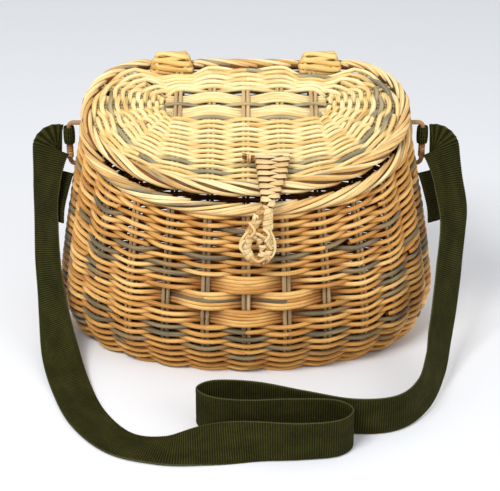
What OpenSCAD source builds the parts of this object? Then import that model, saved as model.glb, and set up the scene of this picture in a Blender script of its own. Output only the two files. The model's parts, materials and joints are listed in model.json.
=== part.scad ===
// Wicker fishing creel with a hinged lid, a wrapped cane hasp and a webbing shoulder strap.
// Millimetres, +Z up, front towards -Y. The origin is on the floor below the basket's box centre.

/* [Basket body] */
// Half of the body's width at the floor
base_half_w = 176; // [170:1:182]
// Half of the body's width at the belly
belly_half_w = 194.5; // [190:0.5:198]
// Half of the body's width that the sides lean in to at the height of the back rim
top_half_w = 157; // [155:1:159]
// Height of the widest part of the belly
belly_h = 50; // [45:1:55]
// Front of the body at the floor, measured from the origin
base_front = 84; // [80:1:88]
// Front of the body at the belly
belly_front = 105.5; // [103:0.5:107]
// Back of the body at the floor
base_back = 88; // [84:1:92]
// Back of the body at the belly
belly_back = 111; // [109:1:113]
// Line of the greatest width, behind the origin
wide_y = 36; // [34:1:38]
// Thickness of the woven wall outside its stakes
wall_t = 6; // [5.5:0.5:7]

/* [Rim and lid] */
// Height of the rim's top at the front
rim_front_h = 186; // [182:1:190]
// Slope of the rim and the lid, down to the front
lid_tilt = 18; // [16:0.5:20]
// Half of the lid's width
lid_half_w = 165; // [162:1:168]
// Front edge of the lid, measured from the origin
lid_front = 84; // [82:1:86]
// Thickness of the rolled rod borders
border_d = 13; // [12:0.5:14]
// Width of each cane hinge
hinge_w = 40; // [34:1:44]
// Distance from the middle to each hinge
hinge_x = 76; // [74:1:80]
// Diameter of the rod that the lid turns on
hinge_rod_d = 11; // [10:0.5:12]

/* [Latch] */
// Diameter of the bar that holds the hasp
latch_bar_d = 4; // [3.5:0.1:4.5]
// Middle of the latch bar, to the right of the centre line
latch_x = 20; // [16:1:24]
// Middle of the hasp ring, to the right of the centre line
ring_x = 11; // [8:1:14]
// Reach of the staple out of the front wall
staple_reach = 13.6; // [12:0.2:14]

/* [Strap] */
// Width of the webbing
strap_w = 38; // [36:1:40]
// Thickness of the webbing
strap_t = 2; // [1.6:0.1:2.4]
// Distance from the middle to each strap bar
bar_x = 178; // [177:1:180]
// Height of the middle of the strap bars
bar_z = 197; // [194:1:199]
// Diameter of the bare rod in a strap bar
bar_d = 4.6; // [4:0.1:5]

/* [Hidden] */

$fn = 48;
fit = 0.08;
gap = 0.2;
tan_tilt = tan(lid_tilt);
border_r = border_d / 2;

// Colours of the weathered rods
straw = [0.83, 0.66, 0.42];
tan_rod = [0.76, 0.55, 0.31];
grey_rod = [0.48, 0.42, 0.33];
cream = [0.90, 0.79, 0.56];
cane = [0.92, 0.80, 0.55];
olive = [0.20, 0.22, 0.12];

// Plan of the body: a straight back, round back corners and a fuller curved front
flat_part = 0.56;
front_power = 2.1;
n_flat = 6;
n_corner = 7;
n_front = 24;
n_plan = n_flat + 2 * n_corner + n_front;

function spow(v, e) = sign(v) * pow(abs(v), e);
function clip(v) = max(0, v);

// A size that swells from the floor to the belly and draws in again to the rim
function swell(z, z_belly, z_top, at_floor, at_belly, at_top, p_low, p_high) =
    z < z_belly
        ? at_belly - (at_belly - at_floor) * pow((z_belly - z) / z_belly, p_low)
        : at_belly - (at_belly - at_top) * pow((z - z_belly) / (z_top - z_belly), p_high);

profile_h = 255;
function half_w(z) = swell(z, belly_h, profile_h, base_half_w, belly_half_w, top_half_w, 2.3, 1.2);
function front_y(z) = -swell(z, 70, 200, base_front, belly_front, belly_front - 10.5, 2.3, 1.5);
function back_y(z) = swell(z, 90, profile_h, base_back, belly_back, belly_back - 4, 2.3, 1.5);

// Point i of the plan, counter-clockwise from the right end of the straight back
function plan_pt(i, a, yf, yb) =
    let (xs = flat_part * a, r = a - xs, b = yb - wide_y, f = wide_y - yf,
         j = i - n_flat, k = j - n_corner, m = k - n_front)
    j < 0 ? [xs - 2 * xs * i / n_flat, yb]
    : k < 0 ? let (t = 90 + 90 * j / n_corner) [-xs + r * cos(t), wide_y + b * sin(t)]
    : m < 0 ? let (t = 180 + 180 * k / n_front)
        [a * spow(cos(t), 2 / front_power), wide_y + f * spow(sin(t), 2 / front_power)]
    : let (t = 90 * m / n_corner) [xs + r * cos(t), wide_y + b * sin(t)];

// The same point on the body at height z, moved in from the outer surface
function body_pt(i, z, inset = 0) =
    plan_pt(i, half_w(z) - inset, front_y(z) + inset, back_y(z) - inset);

// Rim plane, through the top of the rolled rim
rim_front_y = 97;
function rim_z(y) = rim_front_h + (y + rim_front_y) * tan_tilt;
function rim_height(i, drop, z = 200, n = 4) =
    n == 0 ? z : rim_height(i, drop, rim_z(body_pt(i, z)[1]) - drop, n - 1);

// Closed skin over rings of equal length, counter-clockwise seen from the last ring
module skin(rings, loop = false) {
    n = len(rings[0]);
    m = len(rings);
    last = loop ? m - 1 : m - 2;
    sides = [for (k = [0:last]) for (i = [0:n - 1])
        let (a = k * n + i, b = k * n + (i + 1) % n,
             c = ((k + 1) % m) * n + (i + 1) % n, d = ((k + 1) % m) * n + i)
        each [[a, d, c], [a, c, b]]];
    caps = loop ? [] : concat(
        [for (i = [1:n - 2]) [0, i, i + 1]],
        [for (i = [1:n - 2]) [(m - 1) * n, (m - 1) * n + i + 1, (m - 1) * n + i]]);
    polyhedron(points = [for (r = rings) each r], faces = concat(sides, caps), convexity = 8);
}

function unit(v) = v / norm(v);

// Oval ring of n points about a centre, with its two half axes as vectors
function oval(c, u, v, n) = [for (j = [0:n - 1]) c + u * cos(360 * j / n) + v * sin(360 * j / n)];

// Tangent of a path at point i
function tangent(p, i, loop) =
    let (n = len(p), a = loop ? (i + n - 1) % n : max(i - 1, 0), b = loop ? (i + 1) % n : min(i + 1, n - 1))
    unit(p[b] - p[a]);

// Tube with an oval section, r_side across and r_up along the direction up
module tube(path, r_side, r_up, up, loop = false, n = 8) {
    skin([for (i = [0:len(path) - 1])
        let (t = tangent(path, i, loop), s = unit(cross(up, t)), u = cross(t, s))
        oval(path[i], s * r_side, u * r_up, n)], loop);
}

// Positions round the body run from 0 to 1 by length, from the middle of the front
front_mid = n_flat + n_corner + n_front / 2;
arc_steps = 4 * n_plan;
arc_line = [for (k = [0:arc_steps]) body_pt((front_mid + k / 4) % n_plan, 60)];
arc_run = [for (k = 0, s = 0; k <= arc_steps;
    s = s + norm(arc_line[min(k + 1, arc_steps)] - arc_line[k]), k = k + 1) s];
arc_table = [for (k = [0:arc_steps]) [arc_run[k] / arc_run[arc_steps], front_mid + k / 4]];
function around(share) = lookup((share + 1) % 1, arc_table) % n_plan;

// Rows of rods: [number] goes all round, [number, from, to] packs the bays between two ribs there and back
function row_list(count, packing) = [for (f = [0:count - 1]) each concat(
    [for (p = packing) if (p[0] == f) each [p, p]], [[f]])];
function row_part(row, r, ribs) =
    len(row) == 1 ? 1
    : let (mid = (row[1] + row[2]) / 2,
           past = abs((r - mid + 2.5 * ribs) % ribs - ribs / 2) - (row[2] - row[1]) / 2,
           s = clip(min(1, 1 - past / 0.9)))
        s * s * (3 - 2 * s);
function row_mids(w) = let (total = w * [for (v = w) 1])
    [for (k = 0, s = 0; k < len(w); s = s + w[k], k = k + 1) (s + w[k] / 2) / total];

// Closed skin like skin(), where a row that has no height at a column shares the point below it
least_part = 0.03;
module woven_skin(rings, parts) {
    n = len(rings[0]);
    m = len(rings);
    function kept(g, c) = parts[g][c] > least_part ? g : kept(g - 1, c);
    at = [for (g = [0:m - 1]) [for (c = [0:n - 1]) kept(g, c) * n + c]];
    polyhedron(points = [for (r = rings) each r], convexity = 12,
        faces = [for (g = [0:m - 1]) for (c = [0:n - 1])
            let (a = at[g][c], b = at[g][(c + 1) % n],
                 d = at[(g + 1) % m][c], e = at[(g + 1) % m][(c + 1) % n])
            each concat(a == d ? [] : [[a, d, e]], b == e ? [] : [[a, e, b]])]);
}

// Woven wall: a low point where a row passes behind a stake or crosses a bay, a high one where it passes outside
stake_pairs = 24;
wall_drop = 11;
weave_low = 4.1;
weave_high = 0.1;
low_rows = 17;
band_rows = 5;
band_squeeze = 0.87;
full_rows = 45;
wall_rows = row_list(full_rows, [[12, 4, 20], [20, 7, 17], [26, 5, 19], [31, 8, 16],
    [35, 3, 21], [38, 6, 18], [41, 4, 20], [43, 7, 17]]);
wall_cols = 2 * stake_pairs;
inner_rings = 9;
function band_of(row) = len(row) > 1 || row[0] < low_rows ? -1 : floor((row[0] - low_rows) / band_rows);
function in_band(row, rib) =
    let (b = band_of(row), off = min(rib, stake_pairs - rib))
    b >= 0 && b < 3 && off <= (b == 1 ? 2 : 1);
function wall_part(row, r) =
    row_part(row, r, stake_pairs) * (band_of(row) >= 0 && band_of(row) < 3 ? band_squeeze : 1);
wall_parts = [for (c = [0:wall_cols - 1]) [for (row = wall_rows) wall_part(row, c / 2)]];
wall_mids = [for (w = wall_parts) row_mids(w)];
function wall_pt(c, f, inset) =
    let (i = around(c / wall_cols), z = f * rim_height(i, wall_drop), p = body_pt(i, z, inset))
    [p[0], p[1], z];
function wall_inset(k, c) =
    c % 2 == 1 || (k + c / 2) % 2 == 0 || in_band(wall_rows[k], c / 2) ? weave_low
    : weave_low - (weave_low - weave_high) * wall_parts[c][k];
module wall_weave() {
    all = [0:wall_cols - 1];
    n_rows = len(wall_rows);
    solid = [for (c = all) 1];
    color(tan_rod)
        woven_skin(
            concat(
                [[for (c = all) wall_pt(c, 0, weave_low)]],
                [for (k = [0:n_rows - 1]) [for (c = all) wall_pt(c, wall_mids[c][k], wall_inset(k, c))]],
                [[for (c = all) wall_pt(c, 1, weave_low)]],
                [for (g = [0:inner_rings - 1]) [for (c = all) wall_pt(c, 1 - g / (inner_rings - 1), wall_t)]]),
            concat([solid], [for (k = [0:n_rows - 1]) [for (c = all) wall_parts[c][k]]],
                [for (g = [0:inner_rings]) solid]));
}

// Woven floor inside the foot of the wall, flat underneath
base_t = 7;
base_gap = 0.6;
base_inset = wall_t + base_gap;
module base_outline() {
    polygon([for (i = [0:n_plan - 1]) body_pt(i, 0, base_inset)]);
}
module base_weave() {
    color(straw)
        linear_extrude(base_t)
            base_outline();
}

// Sticks that the floor is woven on: three long ones and five short pairs
base_stick_d = 5;
base_stick_z = base_t + base_stick_d / 2 - 0.3;
module base_sticks() {
    color(grey_rod) {
        for (y = [-8, 4, 16])
            translate([-142, y, base_stick_z])
                rotate([0, 90, 0])
                    cylinder(d = base_stick_d, h = 284);
        for (x = [-110:55:110])
            for (side = [-4, 4])
                translate([x + side, -58, base_stick_z + base_stick_d])
                    rotate([-90, 0, 0])
                        cylinder(d = base_stick_d, h = 124);
    }
}

// Upright stakes in pairs against the inside of the wall, from the floor into the rim
stake_d = 4.4;
stake_inset = wall_t + gap + stake_d / 2 + 0.3;
stake_spread = 0.058;
stake_levels = [0.04, 0.12, 0.25, 0.5, 0.75, 1.0];
function stake_pt(r, v) =
    let (i = around(r / stake_pairs), z = v * rim_height(i, wall_drop - 3), p = body_pt(i, z, stake_inset))
    [p[0], p[1], z];
module side_stakes() {
    color(grey_rod)
        for (s = [0:stake_pairs - 1])
            for (half = [-stake_spread, stake_spread])
                tube([for (v = stake_levels) stake_pt(s + half, v)], stake_d / 2, stake_d / 2, [1, 0.01, 0], n = 5);
}

// Rolled rod border along the rim
rim_inset = 5.5;
function rim_path(drop) = [for (i = [0:n_plan - 1])
    let (z = rim_height(i, drop), p = body_pt(i, z, rim_inset)) [p[0], p[1], rim_z(p[1]) - drop]];
rim_drop = border_r / cos(lid_tilt);
module rim_border() {
    color(cream)
        tube(rim_path(rim_drop), border_r, border_r, [0, -sin(lid_tilt), cos(lid_tilt)], loop = true, n = 10);
}

// Bands of five packed rods that arch over one front stake, counted from the middle, in steps of a bay
band_reach = 0.56;
band_back = weave_low + 1.3;
front_rows = full_rows - 3 * band_rows * (1 - band_squeeze);
function band_share(band, edge) = (low_rows + band_squeeze * band_rows * (band + edge)) / front_rows;
module front_band(stake, band) {
    steps = 8;
    color(straw)
        skin([for (k = [0:steps])
            let (t = band_reach * (2 * k / steps - 1),
                 i = around((stake + t) / stake_pairs), top = rim_height(i, wall_drop),
                 z0 = top * band_share(band, 0.04), z1 = top * band_share(band, 0.96),
                 out = weave_low - (weave_low - weave_high) * cos(180 * t))
            [for (q = [[z0, band_back], [z1, band_back], [z1, out], [z0, out]])
                let (p = body_pt(i, q[0], q[1])) [p[0], p[1], q[0]]]]);
}
module front_band_upper() { front_band(0, 2); }
module front_band_middle() {
    front_band(-1, 1);
    front_band(1, 1);
}
module front_band_lower() { front_band(0, 0); }

// Upright bars on both sides that the strap goes round
bar_h = 44;
bar_bend = 5;
module strap_bar(side) {
    color(tan_rod)
        translate([side * bar_x, wide_y, bar_z])
            mirror([side > 0 ? 0 : 1, 0, 0]) {
                translate([0, 0, -bar_h / 2 + bar_bend])
                    cylinder(d = bar_d, h = bar_h - 2 * bar_bend);
                for (end = [-1, 1])
                    translate([-bar_bend, 0, end * (bar_h / 2 - bar_bend)]) {
                        rotate([90, 0, 0])
                            rotate_extrude(angle = end * 90)
                                translate([bar_bend, 0])
                                    circle(d = bar_d);
                        translate([0, 0, end * bar_bend])
                            rotate([0, -90, 0])
                                cylinder(d = bar_d, h = end < 0 ? 3.5 : 10);
                    }
            }
}
module strap_bar_left() { strap_bar(-1); }
module strap_bar_right() { strap_bar(1); }

// Cane wound round each bar
wrap_d = 7.4;
wrap_h = 32;
module strap_bar_wrap(side) {
    color(cane)
        translate([side * bar_x, wide_y, bar_z - wrap_h / 2])
            difference() {
                cylinder(d = wrap_d, h = wrap_h);
                translate([0, 0, -1])
                    cylinder(d = bar_d, h = wrap_h + 2);
            }
}
module strap_bar_wrap_left() { strap_bar_wrap(-1); }
module strap_bar_wrap_right() { strap_bar_wrap(1); }

// Lid plane: x to the right, y up the slope from the widest line, z out of the lid
lid_lift = 0.4;
lid_z0 = rim_z(wide_y) + lid_lift / cos(lid_tilt);
module in_lid_plane() {
    translate([0, wide_y, lid_z0])
        rotate([lid_tilt, 0, 0])
            children();
}
function from_lid(p) = [p[0],
    wide_y + p[1] * cos(lid_tilt) - p[2] * sin(lid_tilt),
    lid_z0 + p[1] * sin(lid_tilt) + p[2] * cos(lid_tilt)];
lid_f = (lid_front + wide_y) / cos(lid_tilt);
hinge_s = 70;
hinge_n = border_r;
hinge_axis = from_lid([0, hinge_s, hinge_n]);
rod_half = 98;

// Border line of the lid: left back corner, front, right back corner
function lid_line(a, f, b, n_c = 8, n_f = 26) = concat(
    [for (k = [0:n_c - 1]) let (t = 90 + 90 * k / n_c)
        [-rod_half + (a - rod_half) * cos(t), b * sin(t)]],
    [for (k = [0:n_f - 1]) let (t = 180 + 180 * k / n_f)
        [a * spow(cos(t), 2 / front_power), f * spow(sin(t), 2 / front_power)]],
    [for (k = [0:n_c]) let (t = 90 * k / n_c)
        [rod_half + (a - rod_half) * cos(t), b * sin(t)]]);

module lid_border() {
    color(cream)
        in_lid_plane()
            tube([for (p = lid_line(lid_half_w - border_r, lid_f - border_r, hinge_s)) [p[0], p[1], hinge_n]],
                border_r, border_r - 0.3, [0, 0, 1], n = 10);
}

// Rod in the back edge of the lid, which turns inside both cane hinges
module lid_hinge_rod() {
    color(tan_rod)
        translate(hinge_axis)
            translate([-rod_half, 0, 0])
                rotate([0, 90, 0])
                    cylinder(d = hinge_rod_d, h = 2 * rod_half);
}

plate_n = 5.4;
plate_t = 5;
plate_back = hinge_s - hinge_rod_d / 2 - gap;
hinge_loop_r = 9.5;
core_half = 83;
core_r = 21;
core_s = 4;
slot_s = core_s + 2;
stick_gap = 34;
pivot_x = 2 * stick_gap;
end_step = 22;
function slot_inside(x, s) =
    pow(clip(abs(x) - core_half + core_r), 2) + pow(s - slot_s, 2) < core_r * core_r;
function lid_inside(x, s, a, f, b) =
    s < 0 ? pow(abs(x) / a, front_power) + pow(-s / f, front_power) < 1
    : s < b && (abs(x) < rod_half || pow((abs(x) - rod_half) / (a - rod_half), 2) + pow(s / b, 2) < 1);

// Distance from (x, core_s) at angle t to the edge of the slot, or to the lid's outline drawn in by inset
function slot_reach(x, t, lo = 0, hi = 250, n = 18) =
    n == 0 ? lo : let (m = (lo + hi) / 2, in = slot_inside(x + m * cos(t), core_s + m * sin(t)))
        slot_reach(x, t, in ? m : lo, in ? hi : m, n - 1);
function lid_reach(x, t, inset, lo = 0, hi = 250, n = 18) =
    n == 0 ? lo : let (m = (lo + hi) / 2,
        in = lid_inside(x + m * cos(t), core_s + m * sin(t),
            lid_half_w - inset, lid_f - inset, hinge_s + border_r - inset))
        lid_reach(x, t, inset, in ? m : lo, in ? hi : m, n - 1);

// Ribs of the lid from the middle of the front: x of the root and heading, counter-clockwise
lid_ribs = concat(
    [for (x = [0:stick_gap:pivot_x]) [x, -90]], [for (t = [-66:end_step:44]) [pivot_x, t]],
    [for (x = [pivot_x:-stick_gap:-pivot_x]) [x, 90]], [for (t = [136:end_step:246]) [-pivot_x, t]],
    [for (x = [-pivot_x, -stick_gap]) [x, 270]], [[0, 270]]);
n_ribs = len(lid_ribs) - 1;
lid_cols = 2 * n_ribs;
lid_rows = row_list(10, [[1, 14.6, 29.4], [3, 15.2, 28.8], [4, 18.5, 25.5], [5, 14.3, 29.7],
    [6, 17.4, 26.6], [7, 18, 26], [8, 15.8, 28.2], [9, 17, 27]]);
lid_parts = [for (c = [0:lid_cols - 1]) [for (row = lid_rows) row_part(row, c / 2, n_ribs)]];
lid_mids = [for (w = lid_parts) row_mids(w)];
plate_low = 1.8;
function lid_pt(c, f, n) =
    let (i = floor(c / 2), ray = c % 2 == 0 ? lid_ribs[i] : (lid_ribs[i] + lid_ribs[i + 1]) / 2,
         d0 = slot_reach(ray[0], ray[1]), d = d0 + f * (lid_reach(ray[0], ray[1], border_d + gap) - d0))
    [ray[0] + d * cos(ray[1]), core_s + d * sin(ray[1]), n];
function lid_height(k, c) =
    c % 2 == 1 || (k + c / 2) % 2 == 0 ? plate_low
    : plate_low + (plate_t - plate_low) * lid_parts[c][k];

// Woven field of the lid round its open core
module lid_weave() {
    notch_s = hinge_s - hinge_loop_r - 1;
    all = [0:lid_cols - 1];
    n_rows = len(lid_rows);
    solid = [for (c = all) 1];
    color(straw)
        in_lid_plane()
            translate([0, 0, plate_n])
                difference() {
                    woven_skin(
                        concat([[for (c = all) lid_pt(c, 1, 0)]], [[for (c = all) lid_pt(c, 1, plate_low)]],
                            [for (k = [n_rows - 1:-1:0])
                                [for (c = all) lid_pt(c, lid_mids[c][k], lid_height(k, c))]],
                            [[for (c = all) lid_pt(c, 0, plate_low)]], [[for (c = all) lid_pt(c, 0, 0)]]),
                        concat([solid, solid], [for (k = [n_rows - 1:-1:0]) [for (c = all) lid_parts[c][k]]],
                            [solid, solid]));
                    for (side = [-1, 1])
                        translate([side * hinge_x - hinge_w / 2 - 1.5, notch_s, -1])
                            cube([hinge_w + 3, 20, plate_t + 2]);
                }
}

stick_d = 4.6;
stick_n = plate_n - 0.1 - stick_d / 2;
function lid_front_s(x) = (lid_f - border_r) * pow(1 - pow(abs(x) / (lid_half_w - border_r), front_power), 1 / front_power);

// Cross sticks in pairs under the weave
module lid_cross_sticks() {
    color(grey_rod)
        in_lid_plane()
            for (x = [-pivot_x:stick_gap:pivot_x])
                for (side = [-2.5, 2.5])
                    let (s0 = -lid_front_s(x), s1 = abs(x) > 50 ? hinge_s - hinge_loop_r - 1.5 : plate_back)
                        translate([x + side, s0, stick_n])
                            rotate([-90, 0, 0])
                                cylinder(d = stick_d, h = s1 - s0);
}

// Long sticks threaded through the cross sticks
spine_gap = 9;
spine_d = 3;
module lid_spine_sticks() {
    spine_half = lid_half_w - border_d + 2;
    color(grey_rod)
        in_lid_plane()
            for (s = [core_s - spine_gap, core_s, core_s + spine_gap])
                translate([-spine_half, s, stick_n])
                    rotate([0, 90, 0])
                        cylinder(d = spine_d, h = 2 * spine_half);
}

// Paired sticks that fan out under both ends of the lid
end_start = 43;
module lid_end_sticks() {
    color(grey_rod)
        in_lid_plane()
            for (side = [-1, 1])
                for (t = [-66, -44, -22, 22, 44])
                    for (pair = [-2.5, 2.5])
                        translate([side * pivot_x, core_s, stick_n])
                            rotate([0, 0, side > 0 ? t : 180 - t])
                                translate([end_start, pair, 0])
                                    rotate([0, 90, 0])
                                        cylinder(d = stick_d, h = lid_reach(pivot_x, t, border_r + 3) - end_start);
}

// Packed bands and the single rod that fill the core, over the cross sticks
band_len = 2 * core_half - 8;
band_w = 15;
module lid_band(s0) {
    color(straw)
        in_lid_plane()
            translate([-band_len / 2, s0, plate_n])
                cube([band_len, band_w, 4]);
}
module lid_band_back() { lid_band(core_s + 2.8); }
module lid_band_front() { lid_band(core_s - 2.8 - band_w); }
module lid_core_rod() {
    color(grey_rod)
        in_lid_plane()
            translate([-core_half + 1, core_s, plate_n + 2])
                rotate([0, 90, 0])
                    cylinder(d = 4, h = 2 * core_half - 2);
}

// Cane hinges: one loop round the lid's rod and one round the rim
module hinge_loop(side) {
    rim_c = from_lid([0, hinge_s, -border_r - lid_lift]);
    low_r = border_r + 2.6;
    color(cane)
        translate([side * hinge_x - hinge_w / 2, 0, 0])
            difference() {
                union() {
                    translate([0, hinge_axis[1], hinge_axis[2]])
                        rotate([0, 90, 0])
                            cylinder(r = hinge_loop_r, h = hinge_w);
                    translate([0, rim_c[1], rim_c[2]])
                        rotate([0, 90, 0])
                            cylinder(r = low_r, h = hinge_w);
                }
                translate([-1, hinge_axis[1], hinge_axis[2]])
                    rotate([0, 90, 0])
                        cylinder(r = hinge_rod_d / 2 + fit, h = hinge_w + 2);
            }
}
module hinge_loop_left() { hinge_loop(-1); }
module hinge_loop_right() { hinge_loop(1); }

// Latch bar on the lid and the two cane ties that hold it
latch_s = -86;
barrel_r = latch_bar_d / 2 + 1.7;
latch_n = plate_n + plate_t + barrel_r + 0.5;
latch_half = 22;
hasp_w = 27;
latch_axis = from_lid([latch_x, latch_s, latch_n]);
module latch_bar() {
    color(grey_rod)
        translate(latch_axis)
            translate([-latch_half, 0, 0])
                rotate([0, 90, 0])
                    cylinder(d = latch_bar_d, h = 2 * latch_half);
}
tie_w = 3.6;
module latch_bar_ties() {
    tie_r = latch_bar_d / 2 + 1.2;
    color(cane)
        in_lid_plane()
            for (end = [-1, 1])
                translate([latch_x + end * (hasp_w / 2 + 3.6) - tie_w / 2, latch_s, latch_n])
                    difference() {
                        union() {
                            rotate([0, 90, 0])
                                cylinder(r = tie_r, h = tie_w);
                            translate([0, -tie_r, plate_n + 3 - latch_n])
                                cube([tie_w, 2 * tie_r, latch_n - plate_n - 3]);
                        }
                        translate([-1, 0, 0])
                            rotate([0, 90, 0])
                                cylinder(d = latch_bar_d, h = tie_w + 2);
                    }
}

// Fan of wound cane from the latch bar to the front edge of the lid
fan_n = border_d - 0.1;
fan_t = 4;
fan_root_s = latch_s - 2.8;
fan_tip_s = -lid_f - 5;
stem_x = 18;
module hasp_fan() {
    color(cane)
        difference() {
            union() {
                translate(latch_axis)
                    translate([-hasp_w / 2, 0, 0])
                        rotate([0, 90, 0])
                            cylinder(r = barrel_r, h = hasp_w);
                in_lid_plane()
                    translate([0, 0, fan_n])
                        linear_extrude(fan_t)
                            polygon([[latch_x - hasp_w / 2, fan_root_s], [latch_x + hasp_w / 2, fan_root_s],
                                [stem_x + 6, fan_tip_s], [stem_x - 6, fan_tip_s]]);
            }
            translate(latch_axis)
                translate([-hasp_w, 0, 0])
                    rotate([0, 90, 0])
                        cylinder(r = latch_bar_d / 2 + fit, h = 2 * hasp_w);
        }
}

// Wound stem that bends down over the front edge
ring_y = -110.5;
ring_z = 152;
stem_start = from_lid([stem_x, fan_tip_s + 3, fan_n + fan_t / 2]);
stem_path = [stem_start, stem_start + [0, -7, -5], [17.5, -107, 190], [17, -110, 181], [16.5, ring_y, 172]];
module hasp_stem() {
    color(cane)
        tube(stem_path, 4.6, 2.6, [0, -1, 0.4]);
}

// Pear-shaped ring and the braided ring inside it
function pear(w, h, narrow, dz, n) = [for (k = [0:n - 1]) let (t = -360 * k / n)
    [ring_x + w * sin(t) * (1 - narrow * cos(t + 180)), ring_y, ring_z + dz + h * cos(t)]];
module hasp_ring() {
    color(cane)
        tube(pear(10.5, 19, -0.2, 0, 28), 2.9, 2.9, [0, 1, 0], loop = true);
}
module hasp_ring_lining() {
    color(cane)
        tube(pear(5.3, 13.4, -0.15, -2.2, 24), 2.5, 2.5, [0, 1, 0], loop = true);
}

// Staple on the front wall that the ring hangs over
staple_d = 2.4;
staple_z = 155;
staple_half = 3;
module latch_staple() {
    root = weave_low + 1.6;
    root_y = front_y(staple_z) + root;
    reach = root + staple_reach - staple_half - staple_d / 2;
    color(cane)
        translate([ring_x, root_y, staple_z]) {
            for (end = [-1, 1])
                translate([0, 0, end * staple_half])
                    rotate([90, 0, 0])
                        cylinder(d = staple_d, h = reach);
            translate([0, -reach, 0])
                rotate([0, -90, 0])
                    rotate([180, 0, 0])
                        rotate_extrude(angle = 180)
                            translate([staple_half, 0])
                                circle(d = staple_d);
        }
}

// Shoulder strap from bar to bar: x, y, z, then the heading and rise of the webbing's width
strap_route = [
    [-186, 36, 197, 135, 88], [-196, 29.5, 194.5, 135, 60], [-202, 18, 155, 135, 14], [-203, 10, 120, 135, 0],
    [-202, -4, 84, 137, 0], [-197, -26, 48, 140, 0], [-188, -62, 18, 152, 0], [-172, -114, 4, 174, 0],
    [-149, -172, 2, 205, 0], [-116, -214, 2, 232, 0], [-76, -230, 5, 260, -8], [-36, -234, 13, 270, -38],
    [6, -238, 19, 270, -75], [48, -240, 20, 270, -88], [84, -234, 20, 270, -89], [97, -216, 20, 270, -89],
    [82, -200, 20, 270, -89], [40, -198, 20, 270, -89], [0, -200, 20, 270, -89], [-32, -194, 20, 270, -89],
    [-46, -178, 20, 270, -89], [-30, -165, 20, 270, -89], [10, -168, 20, 280, -89], [55, -184, 20, 320, -89],
    [100, -198, 20, 360, -88], [140, -192, 20, 380, -84], [166, -164, 22, 392, -68], [182, -122, 28, 400, -46],
    [190, -88, 41, 404, -28], [197, -60, 62, 405, -14], [203, -34, 92, 405, -4], [208, -8, 132, 405, 0],
    [205, 16, 160, 405, 14], [196, 29.5, 194.5, 405, 60], [186, 36, 197, 405, 88]
];

function catmull(a, b, c, d, t) =
    (2 * b + (c - a) * t + (2 * a - 5 * b + 4 * c - d) * t * t + (3 * b - a - 3 * c + d) * t * t * t) / 2;
function route_at(r, u) =
    let (n = len(r) - 1, i = min(floor(u), n - 1))
    catmull(r[max(i - 1, 0)], r[i], r[i + 1], r[min(i + 2, n)], u - i);
function aim(az, el) = [cos(el) * cos(az), cos(el) * sin(az), sin(el)];

// Flat webbing with rounded edges along a route
module webbing(route, steps, width) {
    pts = [for (k = [0:(len(route) - 1) * steps]) route_at(route, k / steps)];
    mid = [for (p = pts) [p[0], p[1], p[2]]];
    color(olive)
        skin([for (k = [0:len(pts) - 1])
            let (t = tangent(mid, k, false), w0 = aim(pts[k][3], pts[k][4]),
                 w = unit(w0 - t * (w0 * t)), n = cross(t, w), a = width / 2, b = strap_t / 2)
            [for (q = [[a, -b / 2], [a, b / 2], [a - 1, b], [1 - a, b],
                       [-a, b / 2], [-a, -b / 2], [1 - a, -b], [a - 1, -b]])
                mid[k] + w * q[0] + n * q[1]]]);
}
module strap_webbing() { webbing(strap_route, 2, strap_w); }

// Folded end of the strap: the loop round the bar and the stitched inner leg
tab_r = wrap_d / 2 + 0.3;
tab_route = [[-189, 30, 170, 135, 20], [-193, 23, 154, 135, 10], [-196, 16, 138, 135, 2], [-197, 12, 122, 135, 0]];
module strap_tab(side) {
    color(olive) {
        translate([side * bar_x, wide_y, bar_z - strap_w / 2 + 3])
            difference() {
                cylinder(r = tab_r + strap_t, h = strap_w - 6);
                translate([0, 0, -1])
                    cylinder(r = tab_r, h = strap_w + 2);
            }
        mirror([side > 0 ? 1 : 0, 0, 0])
            webbing(tab_route, 2, strap_w - 2);
    }
}
module strap_tab_left() { strap_tab(-1); }
module strap_tab_right() { strap_tab(1); }

echo(hinge_axis = hinge_axis, latch_axis = latch_axis);

wall_weave();
base_weave();
base_sticks();
side_stakes();
rim_border();
front_band_upper();
front_band_middle();
front_band_lower();
strap_bar_left();
strap_bar_right();
strap_bar_wrap_left();
strap_bar_wrap_right();
hinge_loop_left();
hinge_loop_right();
latch_staple();
strap_webbing();
strap_tab_left();
strap_tab_right();
lid_weave();
lid_border();
lid_hinge_rod();
lid_cross_sticks();
lid_spine_sticks();
lid_end_sticks();
lid_band_back();
lid_band_front();
lid_core_rod();
latch_bar();
latch_bar_ties();
hasp_fan();
hasp_stem();
hasp_ring();
hasp_ring_lining();
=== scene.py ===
"""Looks for the wicker fishing creel: woven rods, rolled borders, wound cane and a webbing strap."""
import json
import math

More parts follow.
